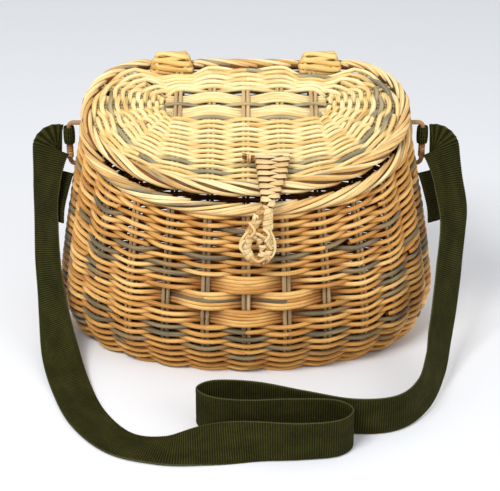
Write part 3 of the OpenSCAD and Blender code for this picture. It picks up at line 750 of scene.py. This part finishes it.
def border(rods, line, way, count, run, ring_out, ring_up, first, roll, dark_share):
    """line(u) gives (centre, outward, up) for shares u of the way round. The strands lie on an oval ring.

    A strand runs on by about the share run, and rolls round the ring from the angle first by the angle roll.
    """
    for k in range(count):
        u0 = (k + rng.uniform(-0.25, 0.25)) / count
        span = run * rng.uniform(0.80, 1.15)
        t = np.linspace(0, 1, 26)
        centre, outward, up = line(u0 + way * span * t)
        angle = np.radians(first + roll * t + rng.uniform(-4, 4))
        lift = 0.25 * np.sin(math.pi * t) + rng.uniform(-0.35, 0.35)
        out_part = outward * (np.cos(angle) * (ring_out + lift))[:, None]
        radial = out_part + up * (np.sin(angle) * (ring_up + lift))[:, None]
        size = STRAND_R * rng.uniform(0.86, 1.14) * np.clip((1 - t) / 0.09, 0.12, 1) ** 0.7
        shade = 0.75 * np.clip(0.15 - np.sin(angle), 0, 1) + 0.5 * np.clip(1 - t / 0.15, 0, 1)
        tone = rng.choice([rng.uniform(0, 0.5), rng.uniform(0.3, 0.95)], p=[1 - dark_share, dark_share])
        strip(rods, centre + radial, unit_rows(radial), size, size * 0.9, tone, shade)
    # A dark core ring in full painted shade inside the strands, which shows in the gaps between them
    centre, outward, up = line(np.linspace(0, 1, 160, endpoint=False))
    sweep(rods, centre, up, ring_out - 0.5, ring_up - 0.5, tone=0.9, loop=True, shade=1.0)


RIM_INSET = 5.5
RIM_DROP = BORDER_R / math.cos(LID_TILT)


def rim_line(u):
    i = around(u)
    z = rim_height(i, RIM_DROP)
    x, y = body(i, z, RIM_INSET)
    centre = columns(x, y, rim_z(y) - RIM_DROP)
    x1, y1 = body(i + 0.5, z, RIM_INSET)
    x0, y0 = body(i - 0.5, z, RIM_INSET)
    along = unit_rows(columns(x1 - x0, y1 - y0, (y1 - y0) * math.tan(LID_TILT)))
    up = np.broadcast_to(LID_OUT, centre.shape)
    return centre, unit_rows(np.cross(along, up)), up


rods = Rods()
border(rods, rim_line, -1, 50, 0.12, ring_out=5.0, ring_up=4.7, first=125, roll=-220, dark_share=0.3)
rods.piece("rim_border_rods", "basket", "cream_willow", border_willow, "rim_border")


def lid_edge(inset):
    """Closed line of the lid drawn in by inset, counter-clockwise from the middle of the front."""
    t = np.radians(np.linspace(-90, 270, 1441)[:-1])
    d = reach(np.zeros_like(t), t, lambda a, b: in_lid(a, b, inset))
    line = columns(d * np.cos(t), CORE_S + d * np.sin(t))
    return resample(np.vstack([line, line[:1]]), 4001)[:-1]


lid_path = lid_edge(BORDER_R)


def lid_border_line(u):
    """The lid's border. It comes forward at the front and is narrow where the hinges hold it."""
    n = len(lid_path)
    at = np.mod(u, 1) * n
    i = np.floor(at).astype(int) % n
    p = lid_path[i] + (lid_path[(i + 1) % n] - lid_path[i]) * (at - np.floor(at))[:, None]
    d = unit_rows(lid_path[(i + 12) % n] - lid_path[(i - 12) % n])
    outward = from_lid(columns(d[:, 1], -d[:, 0], 0)) - from_lid([[0, 0, 0]])
    front = np.clip((-p[:, 1] - 40) / 50, 0, 1) * np.clip((140 - np.abs(p[:, 0])) / 40, 0, 1)
    front = front[:, None]
    centre = lid_point(p[:, 0], p[:, 1], BORDER_R) + outward * front * 1.2 - LID_OUT * front * 1.3
    at_hinge = np.clip((27 - np.abs(np.abs(p[:, 0]) - HINGE_X)) / 5, 0, 1) * (p[:, 1] > 50)
    squeeze = 1 - 0.45 * at_hinge[:, None]
    return centre, outward * squeeze * (0.66 + 0.34 * front), LID_OUT * squeeze


rods = Rods()
border(rods, lid_border_line, 1, 54, 0.105, ring_out=6.4, ring_up=4.8, first=160, roll=-235, dark_share=0.35)
rods.piece("lid_border_rods", "lid", "cream_willow", border_willow, "lid_border", "lid_hinge_rod")

# Cane and webbing round the hinges, the latch and the strap bars


def spline(points, steps):
    """Smooth open line through points, steps per stretch."""
    p = np.asarray(points, float)
    p = np.vstack([p[:1], p, p[-1:]])
    t = (np.arange(steps) / steps)[:, None]
    parts = []
    for a, b, c, d in zip(p, p[1:], p[2:], p[3:]):
        bend, twist = 2 * a - 5 * b + 4 * c - d, 3 * b - a - 3 * c + d
        parts.append((2 * b + (c - a) * t + bend * t * t + twist * t ** 3) / 2)
    return np.vstack(parts + [p[-1:]])


PER_TURN = 12


def coil(rods, path, radius, pitch, half_width, thick, tones, flat=1.0, wobble=0.0, hand=1):
    """A strip wound round a path, once every pitch. flat squeezes the coil from front to back."""
    turns = length_table(path)[-1] / pitch
    line = resample(path, int(turns * PER_TURN) + 1)
    t = tangents(line)
    side = unit_rows(np.cross(FORWARD, t))
    top = np.cross(t, side)
    at = np.linspace(0, turns, len(line))
    phase = 2 * np.pi * at * hand + 0.7
    grow = 1 + wobble * np.sin(at * 2.4 + rng.uniform(0, 6)) * 0.6 + wobble * np.sin(at * 6.1) * 0.4
    radius = np.atleast_1d(radius)
    r = np.interp(np.linspace(0, 1, len(line)), np.linspace(0, 1, len(radius)), radius)
    radial = side * np.cos(phase)[:, None] + top * np.sin(phase)[:, None] * flat
    p = line + radial * (r * grow)[:, None]
    for start in range(0, len(p) - 1, PER_TURN):
        stop = min(start + PER_TURN + 2, len(p))
        if stop - start > 3:
            shade = np.linspace(0.25, 0.0, stop - start)
            strip(rods, p[start:stop], radial[start:stop], half_width, thick, cane_tone(*tones), shade)


def cane_tone(low=0.0, high=0.6):
    return float(rng.uniform(low, high))


# Hinges: turns of cane round the lid's back edge and the rim, and strands laid across their top

LOOP_TURNS, LOOP_PITCH, LOOP_STRANDS = 9, 4.3, 11
LOOP_HALF, FILL_R = 17.0, 9.6
# A free end of cane that lies over the left hinge
FREE_END = [[-96, 92, 256], [-88, 86.5, 249.5], [-74, 85, 247.4], [-61, 85.6, 248.4], [-52, 89, 252]]
hinge_centre = from_lid([0, HINGE_S, BORDER_R])[0]
rim_centre = from_lid([0, HINGE_S, -BORDER_R - LID_LIFT])[0]
down = (rim_centre - hinge_centre) / np.linalg.norm(rim_centre - hinge_centre)
back = np.cross(down, [1.0, 0, 0])
back = back if back[1] > 0 else -back


def hinge_turn(x, r_top, r_low):
    """One closed turn round both rods, at x, and its outward directions."""
    a = np.radians(np.linspace(-90, 90, 11))[:, None]
    ray = back * np.sin(a) + down * np.cos(a)
    p = np.vstack([rim_centre + r_low * ray, hinge_centre - r_top * ray])
    middle = (hinge_centre + rim_centre) / 2
    p[:, 0] = x
    middle[0] = x
    return p, unit_rows(p - middle)


def hinge_arc(x, r, a):
    """Points at the distance r from the hinge's axis, at the angle a from the front over the top."""
    return columns(x, hinge_centre[1] - r * np.cos(a), hinge_centre[2] + r * np.sin(a))


def hinge_strands(rods, mid_x):
    """Wavy strands laid side by side across the top, their ends bent down into the loop."""
    for k in range(LOOP_STRANDS):
        angle = -34 + 16.5 * k
        half = 20.5 - 6.5 * max(0.0, math.sin(math.radians(angle))) ** 3 + rng.uniform(-0.8, 0.8)
        t = np.linspace(-1, 1, 30)
        zig = 9 * np.sin(t * 2.6 + (0 if k % 2 else math.pi) + rng.uniform(-0.3, 0.3))
        a = np.radians(angle + zig)
        ends = np.clip((np.abs(t) - 0.78) / 0.22, 0, 1)
        bulge = 3.4 * math.exp(-((angle - 62) / 30) ** 2)
        r = 10.8 + bulge + 0.9 * np.cos(t * 2.6 + k * math.pi) - (5.5 + bulge) * ends ** 2
        p = hinge_arc(mid_x + half * np.sin(t * 1.45) / math.sin(1.45), r, a)
        out = unit_rows(columns(0.8 * np.sign(t) * ends, -np.cos(a), np.sin(a)))
        width = 2.9 * rng.uniform(0.9, 1.1)
        # The ends bent down into the loop get painted shade
        strip(rods, p, out, width, 1.9, cane_tone(0, 0.9), 0.25 * ends)


for side, name in ((-1, "hinge_loop_left"), (1, "hinge_loop_right")):
    rods = Rods()
    mid_x = side * HINGE_X
    for k in range(LOOP_TURNS):
        p, out = hinge_turn(mid_x + (k - LOOP_TURNS // 2) * LOOP_PITCH, 7.0, BORDER_R + 1.7)
        # Each turn carries a little painted shade
        strip(rods, p, out, 2.3, 0.9, cane_tone(0.1, 0.8), 0.2, loop=True)
    # Dark filler strips in painted shade under the laid strands, which show between them
    for angle in np.radians(np.arange(-36, 150, 14)):
        p = hinge_arc(mid_x + np.linspace(-LOOP_HALF, LOOP_HALF, 12), FILL_R, angle)
        sweep(rods, p, [0, -math.cos(angle), math.sin(angle)], 1.7, 0.8, tone=0.9, shade=0.7)
    hinge_strands(rods, mid_x)
    if side < 0:
        sweep(rods, spline(FREE_END, 6), [0, -0.4, 1.0], 1.5, 0.8, tone=0.2)
    for x in (-15, 14):
        a = np.radians(np.linspace(-50, 35, 8))
        p = hinge_arc(mid_x + x, 10.4, a) + [0, -1.2, 0.2]
        sweep(rods, p, columns(0, -np.cos(a), np.sin(a)), 2.2, 0.8, tone=0.1)
    rods.piece(name + "_cane", "basket", "split_cane", hinge_cane, name)

# Latch bar: a brown twig with a frayed end, tied down with two bands of cane

LATCH_X, LATCH_S, LATCH_N = 20.0, -86.0, 14.6
TIE_X, TIE_R = 17.1, 2.9
rods = Rods()
x = np.linspace(-3.5, 42, 26)
sweep(rods, lid_point(x, LATCH_S, LATCH_N), LID_OUT, 2.0 + 0.15 * np.sin(x * 0.9), tone=0.35)
for k in range(16):
    a = rng.uniform(0, 2 * math.pi)
    length = rng.uniform(4, 11)
    t = np.linspace(0, 1, 6)[:, None]
    root = np.array([2.0 + rng.uniform(-1, 5), LATCH_S + 1.3 * math.cos(a), LATCH_N + 1.2 * math.sin(a)])
    tip = root + np.array([-length, 4.5 * math.cos(a) - 1.5, 2.6 * math.sin(a) - 0.4])
    p = root + (tip - root) * t + np.array([0, 0.8, 0.4]) * np.sin(t * math.pi) * rng.uniform(-1, 1)
    width = np.linspace(1.1, 0.35, 6)
    sweep(rods, from_lid(p), LID_OUT, width, np.linspace(0.7, 0.25, 6), tone=rng.uniform(0, 1))
rods.piece("latch_bar_twig", "lid", "grey_willow", bark, "latch_bar")

rods = Rods()
for end in (-1, 1):
    for off in (-1.1, 1.1):
        x = LATCH_X + end * TIE_X + off
        a = np.radians(np.linspace(-20, 200, 12))
        s = np.concatenate([[LATCH_S + 3.4], LATCH_S + TIE_R * np.cos(a), [LATCH_S - 3.4]])
        n = np.concatenate([[7.0], LATCH_N + TIE_R * np.sin(a), [7.0]])
        p = lid_point(x, s, n)
        sweep(rods, p, unit_rows(p - lid_point(x, LATCH_S, LATCH_N - 2)), 1.05, 0.45, tone=cane_tone())
rods.piece("latch_bar_tie_cane", "lid", "split_cane", cane, "latch_bar_ties")

# Hasp: wraps of flat cane laid from both edges, which meet in a zigzag down the middle

FAN_TOP = [[0, -84.5, 16.8], [0, -92, 18.2], [0, -104, 17.4], [0, -118, 16.6], [0, -128, 15.0]]
FAN_FOOT = [[0, -105.5, 197], [0, -110, 189], [0, -111.5, 181]]
FAN_WRAPS = 9
spine_line = resample(spline(np.vstack([from_lid(FAN_TOP), FAN_FOOT]), 8), 60)
spine_n = unit_rows(np.cross([1.0, 0, 0], tangents(spine_line)))
spine_n = spine_n * np.sign(spine_n[:, 2:3] - spine_n[:, 1:2])
spine_run = length_table(spine_line)
fan_length = spine_run[-1]


def on_hasp(v, x, n):
    """Points at the length v down the hasp, x to the right and n out of its middle, and the way out."""
    v = np.broadcast_to(v, np.shape(x))
    out = interp_rows(v, spine_run, spine_n)
    centre = interp_rows(v, spine_run, spine_line)
    centre[:, 0] = x
    return centre + out * np.asarray(n)[:, None], out


def hasp_edges(v):
    left = np.interp(v, [0, 40, 75], [8.5, 12.0, 15.6])
    right = np.interp(v, [0, 8, 32, 45, 56, 66, 75], [42.0, 41.5, 38.0, 33.5, 31.0, 26.0, 25.0])
    return left, right


def fan_wrap(rods, k, left_side):
    """Wrap number k from one edge: its start is tucked behind and its tip thins out past the middle."""
    v = (k + (0.30 if left_side else 0.75)) * (fan_length - 6) / FAN_WRAPS + 1.5
    left, right = hasp_edges(v)
    edge, sign = (left, 1) if left_side else (right, -1)
    tip = left + (right - left) * 0.52 + (5.5 if left_side else -4.0) * (1 if k < FAN_WRAPS - 2 else 0.5)
    t = np.linspace(0, 1, 12)
    front_x = edge + sign * 0.8 + (tip - edge - sign * 0.8) * t
    x = np.concatenate([edge + sign * np.array([3.2, 0.6, -0.3]), front_x])
    # The two wraps at the top lie close, so that they clear the lid when the hasp is lifted
    rise = 0.9 * np.sin(np.clip(t * 1.3, 0, 1) * math.pi / 2)
    lift = 0.0 if k < 2 else rise + (0.75 if left_side else 0.0)
    n = np.concatenate([[-3.4, -2.8, -1.3], 0.1 + lift - 1.1 * np.clip((t - 0.8) / 0.2, 0, 1)])
    drop = np.concatenate([[0, 0, 0], (2.2 if left_side else 2.8) * t])
    p, out = on_hasp(v + drop, x, n)
    out[:3] = out[:3] * np.array([[-0.9], [0.1], [0.6]]) + np.array([[-sign * 0.5, 0, 0]] * 3)
    width = 3.15 * np.concatenate([[0.9] * 3, np.clip((1.05 - t) / 0.62, 0.16, 1)]) * rng.uniform(0.92, 1.06)
    shade = np.concatenate([[0.8] * 3, 0.35 * (1 - t) ** 2 + 0.3 * t ** 2])
    strip(rods, p, unit_rows(out), width, 0.5, cane_tone(0, 0.45), shade)


rods = Rods()
for k in range(FAN_WRAPS):
    for left_side in (False, True):
        fan_wrap(rods, k, left_side)
# Two dark strips in painted shade behind the wraps show as the dark seams between them
v = np.linspace(1, fan_length - 3, 30)
for share in (0.30, 0.70):
    left, right = hasp_edges(v)
    p, out = on_hasp(v, left + (right - left) * share, np.full(30, -1.6))
    strip(rods, p, out, (right - left) * 0.21, 1.5, 0.95, 0.9)
p, out = on_hasp(np.full(8, 0.0), np.linspace(9, 42, 8), 0.4 - 0.15 * np.linspace(-1, 1, 8) ** 2)
strip(rods, p, out, 3.0, 0.5, 0.1)
p, out = on_hasp(np.full(6, 3.0), np.linspace(36, 45, 6), np.linspace(1.2, 0.2, 6))
strip(rods, p, out, np.linspace(2.6, 1.0, 6), 0.45, 0.05)
bar_centre = from_lid([0, LATCH_S, LATCH_N])[0]
for x in (12, 20, 28):
    a = np.radians(np.linspace(-30, 300, 16)) - LID_TILT
    ray = columns(0, np.sin(a), np.cos(a))
    strip(rods, ray * 3.1 + [x, bar_centre[1], bar_centre[2]], ray, 3.9, 0.5, cane_tone())
rods.piece("hasp_fan_cane", "hasp", "split_cane", cane, "hasp_fan")

RING_ROUTE = [(20.2, -110.2, 189), (20.4, -111, 176), (21.4, -110.5, 163), (22.6, -110.5, 150.5),
              (19.0, -110.5, 139.5), (10.6, -110.5, 135.6), (3.2, -110.5, 141.0), (0.6, -110.5, 151),
              (3.6, -110.7, 163), (8.4, -111.2, 175), (12.4, -111.8, 185.5), (15.6, -111.4, 191.5)]
STEM_POINTS = 14
RING_R = [4.0, 3.7, 3.7, 4.0, 4.1, 4.3, 4.1, 4.2, 4.3, 4.0, 2.6]
LOOSE_ENDS = [[(1.5, -113, 168), (-3.8, -113.5, 160), (-5.6, -112.5, 152), (-2.5, -111, 146)],
              [(-1.5, -114.5, 160), (-5.4, -114.5, 153), (-2.4, -114, 147)],
              [(22, -113.5, 170), (26.6, -113, 158), (26.4, -112.5, 146), (20, -112, 137)],
              [(24, -113.5, 164), (20.5, -115, 157), (24.5, -114, 150)],
              [(3, -114, 178), (8, -115.4, 170), (4, -114.6, 163)],
              [(6, -113.8, 168), (14, -115.4, 165), (20, -114, 160)],
              [(16, -115, 172), (21.5, -115.6, 166), (18, -115, 158)],
              [(4, -114.4, 143), (11, -114.8, 137.6), (18, -114.2, 141)]]
LINING = [(8.5, -109.8, 164), (12.0, -110.6, 160.5), (15.2, -110.6, 153), (16.4, -110.4, 146),
          (14.2, -110.2, 140)]
LINING_CROSS = [(4.2, -110, 158), (9.4, -111.6, 163.4), (16.4, -111.4, 162.6), (20, -110, 157)]

route = spline(RING_ROUTE, 8)
rods = Rods()
stem = route[:STEM_POINTS]
# A dark core in painted shade inside the coil, which shows between its turns
strip(rods, stem, FORWARD, 3.6, 2.2, 0.8, 0.6)
coil(rods, stem, 4.6, 5.6, 3.0, 0.5, (0, 0.45), flat=0.66, wobble=0.04)
rods.piece("hasp_stem_cane", "hasp", "split_cane", cane, "hasp_stem")

rods = Rods()
ring = route[STEM_POINTS - 1:]
# A dark core in painted shade inside the coil, which shows between its turns
strip(rods, ring, FORWARD, 2.9, 2.2, 0.8, 0.6)
coil(rods, ring, RING_R, 5.4, 2.9, 0.5, (0.1, 0.95), flat=0.78, wobble=0.10)
for points in LOOSE_ENDS:
    sweep(rods, spline(points, 7), [0, -1.0, 0.2], 1.5, 0.35, tone=cane_tone(0, 0.6), shade=0.1)
rods.piece("hasp_ring_cane", "hasp", "split_cane", cane, "hasp_ring")

rods = Rods()
lining = spline(LINING, 10)
# A dark core in painted shade inside the coils, which shows between their turns
strip(rods, lining, FORWARD, 1.9, 1.7, 0.9, 0.7)
coil(rods, lining, 3.2, 7.4, 1.8, 0.45, (0.1, 0.7), flat=0.8, wobble=0.2)
coil(rods, lining, 3.5, 7.4, 1.7, 0.45, (0.1, 0.7), flat=0.8, wobble=0.2, hand=-1)
cross = spline(LINING_CROSS, 8)
coil(rods, cross, 2.2, 5.5, 1.7, 0.4, (0, 0.6), flat=0.8, wobble=0.15)
rods.piece("hasp_lining_cane", "hasp", "split_cane", cane, "hasp_ring_lining")

# Strap bars: cane wound round each

BAR_X, BAR_Z, BAR_HALF = 178.0, 197.0, 15.5
for side, name in ((-1, "left"), (1, "right")):
    rods = Rods()
    path = columns(side * BAR_X, WIDE_Y, np.linspace(BAR_Z - BAR_HALF, BAR_Z + BAR_HALF, 20))
    coil(rods, path, 3.0, 2.9, 1.55, 0.6, (0, 1), wobble=0.03, hand=side)
    rods.piece("strap_bar_cane_" + name, "basket", "split_cane", dark_cane, "strap_bar_wrap_" + name)

# Floor of the basket: rods woven over and under the short sticks

FOOT_INSET, FLOOR_PITCH, STICK_PITCH = 7.2, 4.1, 55
rods = Rods()
foot = columns(*plan(np.linspace(0, N_PLAN, 600, endpoint=False), float(half_w(0.0)) - FOOT_INSET,
                     float(front_y(0.0)) + FOOT_INSET, float(back_y(0.0)) - FOOT_INSET))
for k, y in enumerate(np.arange(foot[:, 1].min() + 2.6, foot[:, 1].max() - 2, FLOOR_PITCH)):
    crossing = foot[np.abs(foot[:, 1] - y) < 1.6]
    half = np.abs(crossing[:, 0]).min() - 1.5
    x = np.linspace(-half, half, int(half / 2.2) + 4)
    z = 3.55 + 1.45 * np.cos(x / STICK_PITCH * math.pi) * (1 if k % 2 else -1)
    size = 2.0 * rng.uniform(0.95, 1.05)
    path = columns(x, y + 0.3 * np.sin(x * 0.05 + k), z)
    sweep(rods, path, UPWARD, size, tone=willow_tone(0.3), shade=0.1)
for x in range(-2 * STICK_PITCH, 2 * STICK_PITCH + 1, STICK_PITCH):
    for off in (-4, 4):
        inside = foot[np.abs(foot[:, 0] - x - off) < 2.5, 1]
        y = np.linspace(inside[inside < 0].max() + 3, inside[inside > 0].min() - 3, 20)
        sweep(rods, columns(x + off, y, 3.6), UPWARD, 1.7, tone=0.7)
rods.piece("base_weave_rods", "basket", "tan_willow", willow_wall, "base_weave")

# Strap: the same route as the part's source, x, y, z, heading and rise of the width

STRAP_ROUTE = [
    [-186, 36, 197, 135, 88], [-196, 29.5, 194.5, 135, 60], [-202, 18, 155, 135, 14],
    [-203, 10, 120, 135, 0], [-202, -4, 84, 137, 0], [-197, -26, 48, 140, 0], [-188, -62, 18, 152, 0],
    [-172, -114, 4, 174, 0], [-149, -172, 2, 205, 0], [-116, -214, 2, 232, 0], [-76, -230, 5, 260, -8],
    [-36, -234, 13, 270, -38], [6, -238, 19, 270, -75], [48, -240, 20, 270, -88], [84, -234, 20, 270, -89],
    [97, -216, 20, 270, -89], [82, -200, 20, 270, -89], [40, -198, 20, 270, -89], [0, -200, 20, 270, -89],
    [-32, -194, 20, 270, -89], [-46, -178, 20, 270, -89], [-30, -165, 20, 270, -89],
    [10, -168, 20, 280, -89], [55, -184, 20, 320, -89], [100, -198, 20, 360, -88],
    [140, -192, 20, 380, -84], [166, -164, 22, 392, -68], [182, -122, 28, 400, -46],
    [190, -88, 41, 404, -28], [197, -60, 62, 405, -14], [203, -34, 92, 405, -4], [208, -8, 132, 405, 0],
    [205, 16, 160, 405, 14], [196, 29.5, 194.5, 405, 60], [186, 36, 197, 405, 88]]
TAB_ROUTE = [
    [-189, 30, 170, 135, 20], [-193, 23, 154, 135, 10], [-196, 16, 138, 135, 2], [-197, 12, 122, 135, 0]]
STRAP_W, STRAP_T = 38.0, 2.0
RIB_PITCH, RIB_H, YARN_PITCH = 2.2, 0.16, 1.1
# Distance from the webbing's middle beyond which its edges get flecks of painted highlight
EDGE_HIGHLIGHT_Y = 18.4
TAB_W = STRAP_W - 2
# The fold round a strap bar: its radius, and its half width, which is also its height over the bar's middle
FOLD_R, FOLD_RISE = 5.0, 9
# Half the section of the webbing from edge to edge, as shares of its half width and of its thickness
ACROSS = np.array([-1, -0.9, -0.62, -0.3, 0, 0.3, 0.62, 0.9, 1.0])
LIFT = np.array([0.25, 0.5, 0.42, 0.47, 0.44, 0.47, 0.42, 0.5, 0.25])


def ribbon(rods, route, width):
    """Webbing along a route, with cross ribs and scalloped edges. Gives back points of its middle line."""
    line = spline(route, 40)
    run = length_table(line[:, :3])
    at = np.linspace(0, run[-1], int(run[-1] / (RIB_PITCH / 2)) + 1)
    line = interp_rows(at, run, line)
    mid = line[:, :3]
    t = tangents(mid)
    az, el = np.radians(line[:, 3]), np.radians(line[:, 4])
    w = columns(np.cos(el) * np.cos(az), np.cos(el) * np.sin(az), np.sin(el))
    w = unit_rows(w - t * (w * t).sum(axis=1, keepdims=True))
    n = np.cross(t, w)
    teeth = RIB_H * (-1.0) ** np.arange(len(mid))
    section = list(zip(ACROSS, LIFT * STRAP_T)) + list(zip(ACROSS[::-1], -LIFT[::-1] * STRAP_T))
    rings = np.empty((len(mid), len(section), 3))
    grain = np.empty_like(rings)
    for j, (a, h) in enumerate(section):
        edge = teeth * 1.6 if abs(a) == 1 else 0 * teeth
        out = a * width / 2 + edge * np.sign(a)
        rings[:, j] = mid + w * out[:, None] + n * (h + teeth * np.sign(h))[:, None]
        grain[:, j] = columns(at, a * width / 2, h)
    rods.add(rings, grain, np.zeros_like(rings), caps=True)
    return mid[::4]


def webbing_material():
    mat, tree, shader = nodes_of("olive_webbing")
    grain = attribute(tree, "grain")
    along, across, _ = separate(grain)
    rib = ((along * (2 * math.pi / RIB_PITCH)).maths("SINE") + 1.0) * 0.5
    dots = ((across * (2 * math.pi / YARN_PITCH)).maths("SINE") + 1.0) * 0.5
    speck = noise(grain, (0.9, 0.7, 0.7), 3.0, 0.7)
    worn = noise(grain, (0.03, 0.06, 0.1), 3.0, 0.6)
    level = rib * 0.40 + speck * 0.45 + dots * 0.12 + (worn - 0.5) * 0.5
    colour = ramp(level, [(0.20, (0.006, 0.006, 0.001)), (0.50, (0.022, 0.022, 0.004)),
                          (0.80, (0.058, 0.054, 0.012)), (0.98, (0.13, 0.11, 0.04))])
    # Painted highlight: flecks along both edges of the webbing are lighter
    edge = across.maths("ABSOLUTE").maths("GREATER_THAN", EDGE_HIGHLIGHT_Y) * (speck * 0.9)
    feed(mix("MIX", edge, colour, (0.13, 0.12, 0.05, 1)), shader["Base Color"])
    feed(0.9, shader["Roughness"])
    feed(0.08, shader["Specular IOR Level"])
    bump(shader, rib + dots * 0.35 + speck * 0.4, 0.8, 0.0005)
    return mat


webbing = webbing_material()
for side, name in ((-1, "left"), (1, "right")):
    rods = Rods()
    route = TAB_ROUTE if side < 0 else [[-x, y, z, 180 - az, el] for x, y, z, az, el in TAB_ROUTE]
    ribbon(rods, route, TAB_W)
    a = np.radians(np.linspace(0, 360, 40, endpoint=False))
    out = columns(np.cos(a), np.sin(a), 0)
    loop = out * FOLD_R + [side * BAR_X, WIDE_Y, BAR_Z + FOLD_RISE]
    sweep(rods, loop, out, FOLD_RISE, 0.95, loop=True, sides=12)
    tab = rods.piece("strap_tab_fold_" + name, "basket", "olive_webbing", webbing, "strap_tab_" + name)
rods = Rods()
path = ribbon(rods, STRAP_ROUTE, STRAP_W) * MM
strap = rods.piece("strap_webbing_band", "basket", "olive_webbing", webbing, "strap_webbing")


# CAD pieces that stay as they are get wood with streaks and blotches

WOOD_STOPS = [(0.25, (0.12, 0.05, 0.02)), (0.5, (0.34, 0.17, 0.06)), (0.8, (0.52, 0.30, 0.12))]
STREAK_SCALE, BLOTCH_SCALE = (900.0, 60.0), 40.0


def solid_wood(name, along):
    """Wood with its streaks along the axis number along."""
    mat, tree, shader = nodes_of(name)
    place = Value(tree, tree.nodes.new("ShaderNodeTexCoord").outputs["Object"])
    streak = noise(place, tuple(STREAK_SCALE[axis == along] for axis in range(3)), 5.0, 0.65)
    patch = noise(place, (BLOTCH_SCALE,) * 3, 2.0, 0.5)
    feed(ramp(streak * 0.6 + patch * 0.5, WOOD_STOPS), shader["Base Color"])
    feed(0.55, shader["Roughness"])
    bump(shader, streak, 0.4, GRAIN_DEPTH)
    return mat


WOODEN = (("base_sticks", 0), ("strap_bar_left", 2), ("strap_bar_right", 2), ("latch_staple", 1))
for node_name, along in WOODEN:
    for obj in bpy.data.objects:
        if obj.name == node_name or obj.name.startswith(node_name + "."):
            wood = solid_wood("wood_" + node_name, along)
            for holder in obj.material_slots:
                holder.material = wood

# Camera, light and floor

FOCAL_PX, FRAME_PX = 1475.0, 500
SENSOR_MM = 36.0
CAMERA_FAR = 1.5
camera_data = bpy.data.cameras.new("camera")
camera = add_object("camera", camera_data)
camera_data.sensor_width = SENSOR_MM
camera_data.lens = FOCAL_PX / FRAME_PX * SENSOR_MM
camera_data.clip_start = 0.05
camera_data.clip_end = 30
elevation = math.radians(25)
target = Vector((0.0, 0.008, 0.120))
camera.location = target + Vector((0, -math.cos(elevation), math.sin(elevation))) * CAMERA_FAR
aim = Vector((0.0041, -0.0015, 0.0997))
camera.rotation_euler = (aim - camera.location).to_track_quat("-Z", "Y").to_euler()
bpy.context.scene.camera = camera


def area(name, place, look_at, size, power):
    data = bpy.data.lights.new(name, "AREA")
    data.size = size
    data.energy = power
    lamp = add_object(name, data)
    lamp.location = place
    lamp.rotation_euler = (Vector(look_at) - Vector(place)).to_track_quat("-Z", "Y").to_euler()


area("key", (-0.8, -1.2, 1.8), (0, 0, 0.1), 0.8, 33)
area("fill", (1.5, -1.1, 0.9), (0, 0, 0.12), 1.2, 10)

floor_mesh = bpy.data.meshes.new("floor")
floor_mesh.from_pydata([(-6, -6, 0), (6, -6, 0), (6, 6, 0), (-6, 6, 0)], [], [(0, 1, 2, 3)])
floor_mat, _, floor_shader = nodes_of("floor_pale")
feed((0.88, 0.89, 0.91, 1), floor_shader["Base Color"])
feed(0.8, floor_shader["Roughness"])
floor_mesh.materials.append(floor_mat)
floor = add_object("floor", floor_mesh)

world = bpy.data.worlds.new("world")
bpy.context.scene.world = world
world.use_nodes = True
tree = world.node_tree
tree.nodes.clear()
# Camera, glossy and transmission rays see the pale backdrop, and the others the soft light
rays = tree.nodes.new("ShaderNodeLightPath").outputs
seen_by = Value(tree, rays["Is Camera Ray"])
for kind in ("Is Glossy Ray", "Is Transmission Ray"):
    seen_by = seen_by.maths("MAXIMUM", Value(tree, rays[kind]))
blend = tree.nodes.new("ShaderNodeMixShader")
feed(seen_by, blend.inputs[0])
for place, colour, strength in ((1, (0.95, 0.97, 1.0, 1), 0.62), (2, (0.80, 0.83, 0.87, 1), 1.0)):
    background = tree.nodes.new("ShaderNodeBackground")
    background.inputs["Color"].default_value = colour
    background.inputs["Strength"].default_value = strength
    tree.links.new(background.outputs[0], blend.inputs[place])
tree.links.new(blend.outputs[0], tree.nodes.new("ShaderNodeOutputWorld").inputs[0])
bpy.context.scene.view_settings.view_transform = "Standard"
